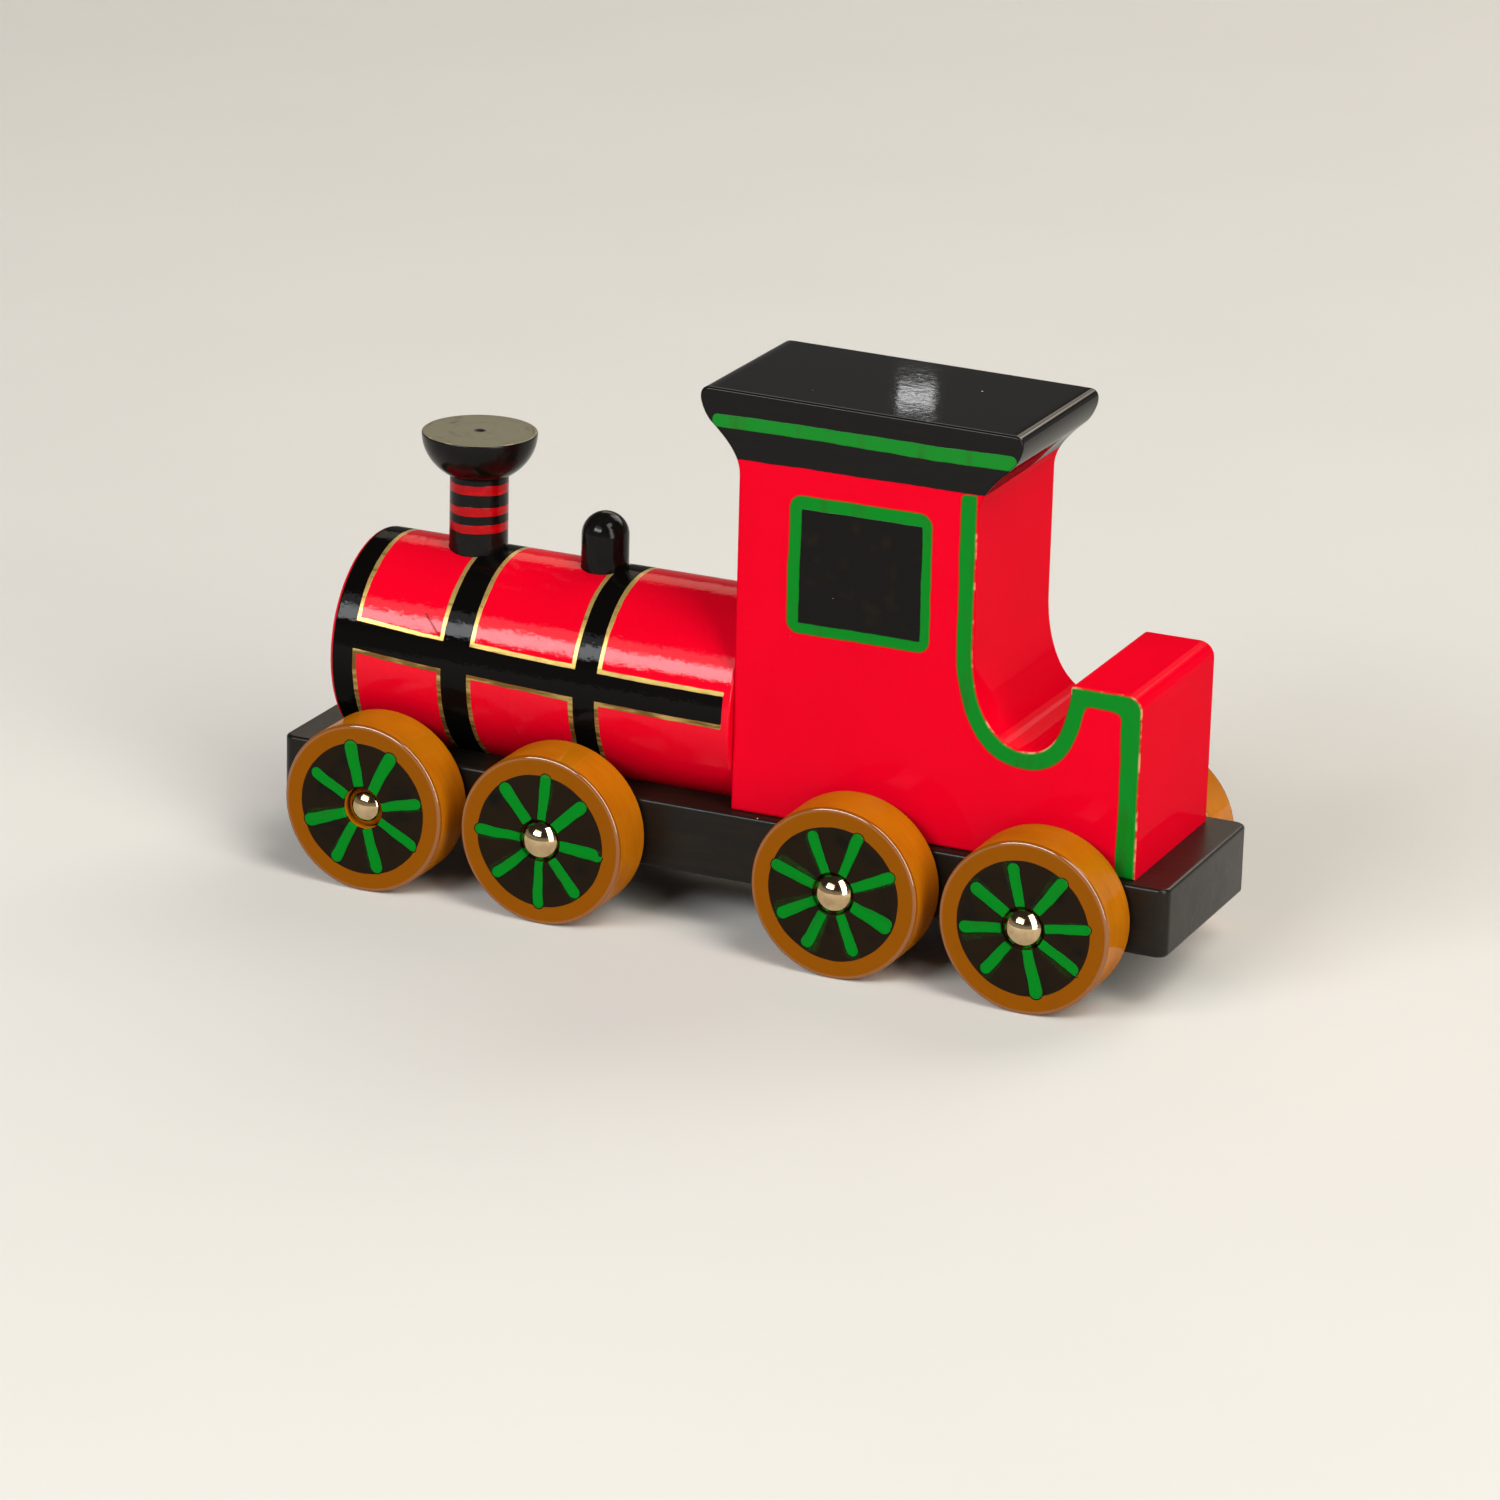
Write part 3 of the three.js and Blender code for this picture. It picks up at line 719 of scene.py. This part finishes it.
def drill(made, cutters):
    """Cuts each cutter out of the mesh for good."""
    for cutter in cutters:
        cut = made.modifiers.new("cut", "BOOLEAN")
        cut.object = cutter
        cut.solver = "EXACT"
    bpy.context.view_layer.update()
    depsgraph = bpy.context.evaluated_depsgraph_get()
    mesh = bpy.data.meshes.new_from_object(made.evaluated_get(depsgraph))
    made.modifiers.clear()
    made.data = mesh
    for cutter in cutters:
        bpy.data.objects.remove(cutter)


def settle(made, node, material, body=BODY):
    """Shades a piece, gives it its finish and lets it stand for its CAD node."""
    made.data.shade_smooth()
    made.data.set_sharp_from_angle(angle=SHARP_ANGLE)
    made.data.materials.clear()
    made.data.materials.append(material)
    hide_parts(node)
    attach(made, body)


def along_x(origin):
    return Matrix.Translation(origin) @ Matrix.Rotation(math.pi / 2, 4, "Y")


def along_y(origin, side=1):
    return Matrix.Translation(origin) @ Matrix.Rotation(-side * math.pi / 2, 4, "X")


def cylinder_cutter(radius, start, end, place, segments=48):
    points, faces = turned([(0, start), (radius, start), (radius, end), (0, end)], segments)
    return mesh_object("cutter", points, faces, place)


# -------------------------------- screws

def screw_cutter(name):
    """The countersunk hole that a screw is driven into, open at the board's underside."""
    low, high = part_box(name)
    head = SCREW_HEAD + CLEARANCE
    shank = SCREW_SHANK + CLEARANCE
    mouth = BOARD_LO.z - MM
    profile = [(0, mouth), (head, mouth), (head, low.z + SCREW_RIM + CLEARANCE),
               (shank, low.z + SCREW_TAPER_END + CLEARANCE),
               (shank, high.z - SCREW_POINT + CLEARANCE), (0, high.z + CLEARANCE)]
    points, faces = turned(profile, 48)
    return mesh_object("cutter", points, faces, Matrix.Translation(((low.x + high.x) / 2, 0, 0)))


def screw(name, material):
    """A countersunk wood screw, point up, with a cross slot whose two arms narrow downwards."""
    low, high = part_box(name)
    tip = high.z - low.z
    profile = rounded([(0, 0, 0), (SCREW_HEAD, 0, SCREW_HEAD_EDGE), (SCREW_HEAD, SCREW_RIM, 0),
                       (SCREW_SHANK, SCREW_TAPER_END, 0), (SCREW_SHANK, tip - SCREW_POINT, 0),
                       (0, tip, 0)], 2, SMALL_HOLD)
    place = Matrix.Translation(((low.x + high.x) / 2, 0, low.z))
    made = mesh_object(f"{name}_finished", *turned(profile, 48), place)
    reach, width = SCREW_SLOT_REACH, SCREW_SLOT_HALF_WIDTH
    outline = [(-reach, width), (reach, width), (reach, -width), (-reach, -width)]
    points = [(u, v, -MM) for u, v in outline]
    points += [(u * 0.45, v * 0.7, SCREW_SLOT_DEPTH) for u, v in outline]
    faces = [(0, 1, 2, 3), (4, 5, 6, 7)]
    faces += [(k, (k + 1) % 4, (k + 1) % 4 + 4, k + 4) for k in range(4)]
    wings = [mesh_object("cutter", points, faces, place @ Matrix.Rotation(turn, 4, "Z"))
             for turn in (0, math.pi / 2)]
    drill(made, wings)
    settle(made, name, material)


# -------------------------------- chassis

def rounded_slab(outline, low, high, edge, steps=4):
    """A slab between two heights over a convex outline, with rounded upper and lower edges."""
    bend = [math.pi / 2 * k / steps for k in range(steps + 1)]
    inset = [(edge * (1 - math.cos(angle)), edge * (1 - math.sin(angle))) for angle in bend]
    levels = [(edge + HOLD, low)]
    levels += [(gap, low + rise) for gap, rise in reversed(inset)]
    levels += [(0, low + edge + HOLD), (0, high - edge - HOLD)]
    levels += [(gap, high - rise) for gap, rise in inset]
    levels += [(edge + HOLD, high)]
    points = []
    for gap, height in levels:
        points += [(p.x - n.x * gap, p.y - n.y * gap, height) for p, n in outline]
    count = len(outline)
    ends = [list(range(count)), list(range(len(points) - count, len(points)))]
    return points, ends + walls(len(levels), count)


def board_outline():
    """Points and outward directions round the chassis board, its corners rounded."""
    outline = []
    middle = (BOARD_HI + BOARD_LO) / 2
    half_x = (BOARD_HI.x - BOARD_LO.x) / 2 - BOARD_CORNER
    half_y = (BOARD_HI.y - BOARD_LO.y) / 2 - BOARD_CORNER
    for quarter, (sx, sy) in enumerate(((1, 1), (-1, 1), (-1, -1), (1, -1))):
        centre = Vector((middle.x + sx * half_x, middle.y + sy * half_y))
        for step in range(9):
            angle = math.radians(90 * (quarter + step / 8))
            outward = Vector((math.cos(angle), math.sin(angle)))
            outline.append((centre + outward * BOARD_CORNER, outward))
    return outline


def chassis(material):
    slab = rounded_slab(board_outline(), BOARD_LO.z, BOARD_HI.z, BOARD_EDGE)
    made = mesh_object("chassis_finished", *slab)
    cutters = [screw_cutter(f"screw_{place}") for place in SCREWS]
    for station in STATIONS:
        low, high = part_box(f"axle_{station}")
        centre = (low + high) / 2
        radius = (high.z - low.z) / 2 + CLEARANCE
        cutters.append(cylinder_cutter(radius, low.y, high.y, along_y(centre)))
    cord = Matrix.Translation((BOARD_HI.x - CORD_HOLE_FROM_FRONT, 0, 0))
    cutters.append(cylinder_cutter(CORD_HOLE_RADIUS, BOARD_LO.z - MM, BOARD_HI.z + MM, cord))
    drill(made, cutters)
    settle(made, "chassis", material)


# -------------------------------- boiler, chimney and dome

def boiler(material):
    """A dowel with a flat underside, and holes for the chimney, the dome and the screws."""
    profile = rounded([(0, BOILER_LO.x, 0), (BOILER_RADIUS, BOILER_LO.x, BOILER_REAR_EDGE),
                       (BOILER_RADIUS, BOILER_HI.x, BOILER_FRONT_EDGE), (0, BOILER_HI.x, 0)], 6)
    made = mesh_object("boiler_finished", *turned(profile, 160), along_x((0, 0, BOILER_AXIS)))
    span = BOILER_HI.x - BOILER_LO.x
    ends = [Vector(end) for end in ((span, span), (-span, span), (-span, -span), (span, -span))]
    under = rounded_slab([(end, end.normalized()) for end in ends], 0, BOILER_LO.z, MM, 1)
    cutters = [mesh_object("cutter", *under)]
    for x, radius, foot in ((CHIMNEY_X, STACK_RADIUS, CHIMNEY_LO.z), (DOME_X, DOME_RADIUS, DOME_LO.z)):
        place = Matrix.Translation((x, 0, 0))
        seat = cylinder_cutter(radius + CLEARANCE, foot - CLEARANCE, BOILER_HI.z + MM, place, 96)
        cutters.append(seat)
    cutters += [screw_cutter(f"screw_boiler_{place}") for place in ("front", "rear")]
    drill(made, cutters)
    settle(made, "boiler", material)


def chimney(material):
    top = CHIMNEY_HI.z
    start = -math.degrees(math.acos(STACK_RADIUS / BOWL_RADIUS))
    bowl = arc((0, top - BOWL_RIM), (BOWL_RADIUS, BOWL_DEPTH - BOWL_RIM), start, 0, 20)
    rim = arc((BOWL_RADIUS - BOWL_RIM, top - BOWL_RIM), (BOWL_RIM, BOWL_RIM), 0, 90, 4)[1:]
    foot = rounded([(0, CHIMNEY_LO.z, 0), (STACK_RADIUS, CHIMNEY_LO.z, FOOT_EDGE),
                    (STACK_RADIUS, bowl[0].y, 0)])[:-1]
    mark = [(BOWL_RADIUS - BOWL_RIM - HOLD, top), (CENTRE_MARK + HOLD, top), (CENTRE_MARK, top),
            (CENTRE_MARK * 0.45, top - CENTRE_MARK_DEPTH), (0, top - CENTRE_MARK_DEPTH)]
    shaft = [(STACK_RADIUS, bowl[0].y - HOLD)]
    profile = [*foot, *shaft, *bowl, *rim, *mark]
    place = Matrix.Translation((CHIMNEY_X, 0, 0))
    made = mesh_object("chimney_finished", *turned(profile, 128), place)
    settle(made, "chimney", material)


def steam_dome(material):
    crown = arc((0, DOME_HI.z - DOME_RADIUS), (DOME_RADIUS, DOME_RADIUS), 0, 90, 16)
    foot = rounded([(0, DOME_LO.z, 0), (DOME_RADIUS, DOME_LO.z, FOOT_EDGE),
                    (DOME_RADIUS, DOME_HI.z, 0)])[:-1]
    profile = [*foot, *crown[:-1], (0, DOME_HI.z)]
    place = Matrix.Translation((DOME_X, 0, 0))
    made = mesh_object("steam_dome_finished", *turned(profile, 96), place)
    settle(made, "steam_dome", material)


# -------------------------------- cab

def roof_end(wall, top, out):
    """From the wall up to the roof: a hollow sweep outwards, then a round nose."""
    def at(across, down):
        return wall + out * across * ROOF_OVERHANG, top - down * ROOF_FLARE

    turn = at(0.73, 0.4)
    sweep = bezier(at(0, 1), at(0, 0.76), at(0.38, 0.57), turn, 14)
    nose = bezier(turn, at(0.9, 0.3), at(1.15, 0), at(0.73, 0), 18)
    return [*sweep, *nose[1:]]


def scoop():
    """From the back wall down through the scoop and up to the bunker's front lip."""
    side_top = BUNKER_TOP - BUNKER_LIP
    drop = SCOOP_TOP - SCOOP_FLOOR
    reach = SCOOP_LOW_X - CAB_BACK
    rise = side_top - SCOOP_FLOOR
    bunker_reach = BUNKER_FRONT - SCOOP_LOW_X
    low = (SCOOP_LOW_X, SCOOP_FLOOR)
    lip = (BUNKER_FRONT, side_top)
    corner = (BUNKER_FRONT, BUNKER_TOP)
    wall = bezier((CAB_BACK, SCOOP_TOP), (CAB_BACK, SCOOP_FLOOR + 0.44 * drop),
                  (CAB_BACK + 0.37 * reach, SCOOP_FLOOR), low, 24)
    climb = bezier(low, (SCOOP_LOW_X + 0.65 * bunker_reach, SCOOP_FLOOR),
                   (SCOOP_LOW_X + 0.84 * bunker_reach, SCOOP_FLOOR + 0.35 * rise), lip, 20)
    edge = bezier(lip, corner, corner, (BUNKER_FRONT - BUNKER_LIP, BUNKER_TOP), 8)
    return [*wall, *climb[1:], *edge[1:]]


def cab_outline():
    """Side outline in X and Z: the front foot to the roof's rear, then the scoop to the rear foot."""
    corner = (BUNKER_REAR + BUNKER_CORNER, BUNKER_TOP - BUNKER_CORNER)
    front = roof_end(CAB_FRONT, ROOF_FRONT_TOP, 1)
    rear = roof_end(CAB_BACK, ROOF_REAR_TOP, -1)[::-1]
    back = [*scoop(), *arc(corner, (BUNKER_CORNER, BUNKER_CORNER), 90, 180, 10)]
    foot = [Vector((BUNKER_REAR, CAB_LO.z))]
    return [Vector((CAB_FRONT, CAB_LO.z)), *front, *rear], [*back, *foot]


def subdivided(line, step):
    """A closed line with its long stretches cut into pieces of about one step."""
    fine = []
    for here, after in zip(line, [*line[1:], line[0]]):
        parts = max(1, round((after - here).length / step))
        fine += [here.lerp(after, part / parts) for part in range(parts)]
    return fine


def outward_directions(line):
    """For each corner of a closed line that runs anticlockwise, the way out, scaled for its angle."""
    ways = []
    for before, here, after in zip([line[-1], *line], line, [*line[1:], line[0]]):
        first = (here - before).normalized()
        second = (after - here).normalized()
        normal = Vector((first.y + second.y, -first.x - second.x)).normalized()
        ways.append(normal / max(0.3, normal.dot(Vector((first.y, -first.x)))))
    return ways


def gap_to_line(point, line):
    """Distance from a point to an open line."""
    best = 1.0
    for start, end in zip(line, line[1:]):
        along = end - start
        share = max(0.0, min(1.0, (point - start).dot(along) / along.length_squared))
        best = min(best, (point - start - along * share).length)
    return best


def cab(material):
    """A block cut to the side outline, its long edges rounded, its sides finely meshed."""
    front, rear = cab_outline()
    outline = subdivided([*front, *rear], OUTLINE_STEP)
    ways = outward_directions(outline)
    bend = [math.pi / 2 * k / CAB_EDGE_STEPS for k in range(CAB_EDGE_STEPS + 1)]
    half = [(CAB_EDGE + HOLD, CAB_SIDE)]
    half += [(CAB_EDGE * (1 - math.sin(angle)), CAB_SIDE - CAB_EDGE * (1 - math.cos(angle)))
             for angle in bend]
    half += [(0, CAB_SIDE - CAB_EDGE - HOLD)]
    levels = half + [(gap, -y) for gap, y in reversed(half)]
    count = len(outline)
    points = []
    flat = []
    for gap, y in levels:
        for point, way in zip(outline, ways):
            inner = point - way * gap
            flat.append(inner)
            points.append((inner.x, y, inner.y))
    faces = walls(len(levels), count)
    for level in (0, len(levels) - 1):
        fill_side(points, flat, faces, level * count, count)
    made = mesh_object("cab_finished", points, faces)
    back_line = [Vector((CAB_BACK, ROOF_REAR_TOP)), *rear]
    gaps = made.data.attributes.new("edge_gap", "FLOAT", "POINT")
    gaps.data.foreach_set("value", [gap_to_line(point, back_line) for point in flat])
    settle(made, "cab_body", material)


def fill_side(points, flat, faces, start, count):
    """Fills a flat side with small triangles, so that values kept at its points read smoothly."""
    border = flat[start:start + count]
    side_y = points[start][1]
    low = Vector((min(p.x for p in border), min(p.y for p in border)))
    high = Vector((max(p.x for p in border), max(p.y for p in border)))
    loose = []
    rows = int((high.y - low.y) / SIDE_STEP)
    columns = int((high.x - low.x) / SIDE_STEP)
    for row in range(1, rows):
        for column in range(1, columns):
            point = low + Vector(((column + row % 2 / 2) * SIDE_STEP, row * SIDE_STEP))
            if within(point, border) and gap_to_line(point, [*border, border[0]]) > 0.6 * SIDE_STEP:
                loose.append(point)
    edges = [(k, (k + 1) % count) for k in range(count)]
    found, _, triangles, origins, _, _ = geometry.delaunay_2d_cdt(border + loose, edges, [], 1, 1e-9)
    names = {}
    for index, (place, origin) in enumerate(zip(found, origins)):
        if origin and origin[0] < count:
            names[index] = start + origin[0]
        else:
            names[index] = len(points)
            points.append((place.x, side_y, place.y))
            flat.append(Vector(place))
    for triangle in triangles:
        faces.append([names[index] for index in triangle])


def within(point, border):
    """True if the point lies inside the closed border."""
    crossings = False
    for start, end in zip(border, [*border[1:], border[0]]):
        if (start.y > point.y) != (end.y > point.y):
            share = (point.y - start.y) / (end.y - start.y)
            if point.x < start.x + share * (end.x - start.x):
                crossings = not crossings
    return crossings


# -------------------------------- running gear

WHEEL_PHASES = {1: 29.5, 2: 4.4, 3: 21.7, 4: 33.6}  # turn of each left wheel's spokes, in degrees
RIGHT_PHASE = 17  # added for the right wheel on the same axle


def wheel(station, side_name, material):
    node = f"wheel_{station}_{side_name}"
    side = SIDES[side_name]
    low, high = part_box(node)
    inner = low.y if side > 0 else high.y
    thick = WHEEL_THICKNESS
    corners = [(WHEEL_BORE, 0, 0), (WHEEL_RADIUS, 0, WHEEL_BACK_EDGE),
               (WHEEL_RADIUS, thick, WHEEL_RIM),
               (HUB_RADIUS, thick, HUB_LIP), (HUB_RADIUS, thick - HUB_DEPTH, HUB_LIP),
               (WHEEL_BORE, thick - HUB_DEPTH, 0)]
    points, faces = turned(rounded(corners, 5), 128, closed=True)
    centre = Vector(((low.x + high.x) / 2, inner, (low.z + high.z) / 2))
    phase = math.radians(WHEEL_PHASES[station] + (0 if side > 0 else RIGHT_PHASE))
    place = along_y(centre, side) @ Matrix.Rotation(phase * side * -1, 4, "Z")
    made = mesh_object(f"{node}_finished", points, faces, place)
    local = made.data.attributes.new("turning", "FLOAT_VECTOR", "POINT")
    local.data.foreach_set("vector", [value for point in points for value in point])
    number = made.data.attributes.new("wheel_number", "FLOAT", "POINT")
    number.data.foreach_set("value", [float(station + (side < 0) * len(STATIONS))] * len(points))
    settle(made, node, material, node)


def axle_cap(station, side_name, material):
    node = f"axle_cap_{station}_{side_name}"
    side = SIDES[side_name]
    low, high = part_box(node)
    radius = (high.x - low.x) / 2
    height = high.y - low.y
    base = low.y if side > 0 else high.y
    ball = (radius ** 2 + CAP_DOME ** 2) / (2 * CAP_DOME)
    brim = math.degrees(math.acos(radius / ball))
    dome = arc((0, height - ball), (ball, ball), brim, 90, 18)
    foot = [(0, CAP_GRIP + CLEARANCE), (CAP_BORE, CAP_GRIP + CLEARANCE), (CAP_BORE, 0)]
    skirt = rounded([(CAP_BORE, 0, 0), (radius, 0, CAP_EDGE), (radius, height, 0)], 3, SMALL_HOLD)[1:-1]
    profile = [*foot, *skirt, *dome[:-1], (0, height)]
    centre = Vector(((low.x + high.x) / 2, base, (low.z + high.z) / 2))
    made = mesh_object(f"{node}_finished", *turned(profile, 64), along_y(centre, side))
    settle(made, node, material)


def axle(station, material):
    node = f"axle_{station}"
    low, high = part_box(node)
    radius = (high.z - low.z) / 2
    half = (high.y - low.y) / 2
    profile = [(0, -half), (radius - ROD_CHAMFER, -half), (radius, ROD_CHAMFER - half),
               (radius, half - ROD_CHAMFER), (radius - ROD_CHAMFER, half), (0, half)]
    made = mesh_object(f"{node}_finished", *turned(profile, 48), along_y((low + high) / 2))
    settle(made, node, material)


# -------------------------------- studio

LIGHT_DISTANCE = 3.2
CAMERA_AZIMUTH = 204.08
CAMERA_ELEVATION = 19.08
CAMERA_ROLL = 1.494
CAMERA_DISTANCE = 1.5774
CAMERA_LENS = 148.57
AIM_ASIDE = -0.0031  # aim point from the object's centre, to the right and up in the view
AIM_UP = -0.0293


def direction(azimuth, elevation):
    """Unit vector from the object towards a viewer at that azimuth and elevation."""
    a = math.radians(azimuth)
    e = math.radians(elevation)
    return Vector((math.sin(a) * math.cos(e), -math.cos(a) * math.cos(e), math.sin(e)))


def place_camera():
    back = direction(CAMERA_AZIMUTH, CAMERA_ELEVATION)
    roll = Matrix.Rotation(math.radians(CAMERA_ROLL), 3, "Z").to_quaternion()
    aim = back.to_track_quat("Z", "Y") @ roll
    right = aim @ Vector((1, 0, 0))
    up = aim @ Vector((0, 1, 0))
    target = (CAD_LO + CAD_HI) / 2 + right * AIM_ASIDE + up * AIM_UP
    data = bpy.data.cameras.new("camera")
    data.lens = CAMERA_LENS
    camera = bpy.data.objects.new("camera", data)
    camera.rotation_mode = "QUATERNION"
    camera.rotation_quaternion = aim
    camera.location = target + back * CAMERA_DISTANCE
    bpy.context.scene.collection.objects.link(camera)
    bpy.context.scene.camera = camera


def softbox(name, azimuth, elevation, width, height, radiance, colour):
    """A rectangular light that faces the object from that direction; its size is in degrees."""
    back = direction(azimuth, elevation)
    data = bpy.data.lights.new(name, "AREA")
    data.shape = "RECTANGLE"
    data.size = 2 * LIGHT_DISTANCE * math.tan(math.radians(width / 2))
    data.size_y = 2 * LIGHT_DISTANCE * math.tan(math.radians(height / 2))
    data.energy = radiance * math.pi * data.size * data.size_y
    data.color = colour
    light = bpy.data.objects.new(name, data)
    light.rotation_mode = "QUATERNION"
    light.rotation_quaternion = back.to_track_quat("Z", "Y")
    light.location = (CAD_LO + CAD_HI) / 2 + back * LIGHT_DISTANCE
    light.visible_camera = False
    bpy.context.scene.collection.objects.link(light)


COOL = (0.94, 0.97, 1.0)
NEUTRAL = (1, 1, 1)
SOFT_WARM = (1.0, 0.97, 0.92)
WARM = (1.0, 0.86, 0.68)
LIGHTS = (  # name, azimuth, elevation, width and height in degrees, radiance, colour
    ("softbox_left", 160, 30.2, 36, 12.6, 20.5, COOL),
    ("softbox_upper", 160, 42, 36, 11, 2.6, COOL),
    ("strip_right", 240, 33, 24, 70, 9.3, SOFT_WARM),
    ("softbox_far", 340, 42, 30, 30, 4.5, NEUTRAL),
    ("panel_far", -6, 34, 68, 20, 1.9, WARM),
    ("lamp_behind", 21.46, 17.68, 0.5, 0.13, 9, NEUTRAL),
)

FLOOR_SIZE = 14.0
FLOOR_COLOUR = (0.52, 0.505, 0.47)
FLOOR_SHADE = (0.51, 0.495, 0.46)
ROOM_LOW = (0.33, 0.325, 0.305)  # light from the walls round the table
ROOM_HIGH = (0.035, 0.036, 0.040)  # light from above them
WALL_TOP = (8, 24)  # elevations between which the walls fade, in degrees
BACKDROP = (0.66, 0.64, 0.59)


def floor():
    half = FLOOR_SIZE / 2
    corners = [(-half, -half, 0), (half, -half, 0), (half, half, 0), (-half, half, 0)]
    made = mesh_object("floor", corners, [(0, 1, 2, 3)])
    paper = Paintwork("floor_paper")
    paper.ground(FLOOR_COLOUR, FLOOR_SHADE, paper.noise(0.12, 70.0, 3.0))
    paper.roughness = 0.8
    made.data.materials.append(paper.finish(specular=0.2))


def room():
    """Pale walls under a dark ceiling; the camera itself sees a plain backdrop beyond the floor."""
    world = bpy.data.worlds.new("room")
    bpy.context.scene.world = world
    world.use_nodes = True
    tree = world.node_tree
    split = tree.nodes.new("ShaderNodeSeparateXYZ")
    plug(tree.nodes.new("ShaderNodeTexCoord").outputs["Generated"], split.inputs[0])
    start, end = [math.sin(math.radians(elevation)) for elevation in WALL_TOP]
    height = Field(split.outputs["Z"]).ramp(start, end)
    surroundings = tree.nodes["Background"]
    plug(blend(tree, height, ROOM_LOW, ROOM_HIGH), surroundings.inputs["Color"])
    backdrop = tree.nodes.new("ShaderNodeBackground")
    plug(BACKDROP, backdrop.inputs["Color"])
    path = tree.nodes.new("ShaderNodeLightPath")
    choose = tree.nodes.new("ShaderNodeMixShader")
    plug(path.outputs["Is Camera Ray"], choose.inputs[0])
    plug(surroundings.outputs[0], choose.inputs[1])
    plug(backdrop.outputs[0], choose.inputs[2])
    plug(choose.outputs[0], tree.nodes["World Output"].inputs["Surface"])


# -------------------------------- assembly

place_camera()
floor()
room()
for light in LIGHTS:
    softbox(*light)
bpy.context.scene.view_settings.view_transform = "Standard"

chassis(chassis_paint())
boiler(boiler_paint())
chimney(chimney_paint())
steam_dome(dome_paint())
cab(cab_paint())
wheel_material = wheel_paint()
cap_material = bright_metal("nickel_plate_warm_reflection", NICKEL_WARM_REFLECTION, NICKEL_DEEP_WARM_REFLECTION, 0.09, 61.0)
steel_material = bright_metal("drawn_steel", STEEL, STEEL_DEEP, 0.30, 65.0)
for station in STATIONS:
    axle(station, steel_material)
    for side_name in SIDES:
        wheel(station, side_name, wheel_material)
        axle_cap(station, side_name, cap_material)
for screw_place in SCREWS:
    screw(f"screw_{screw_place}", steel_material)
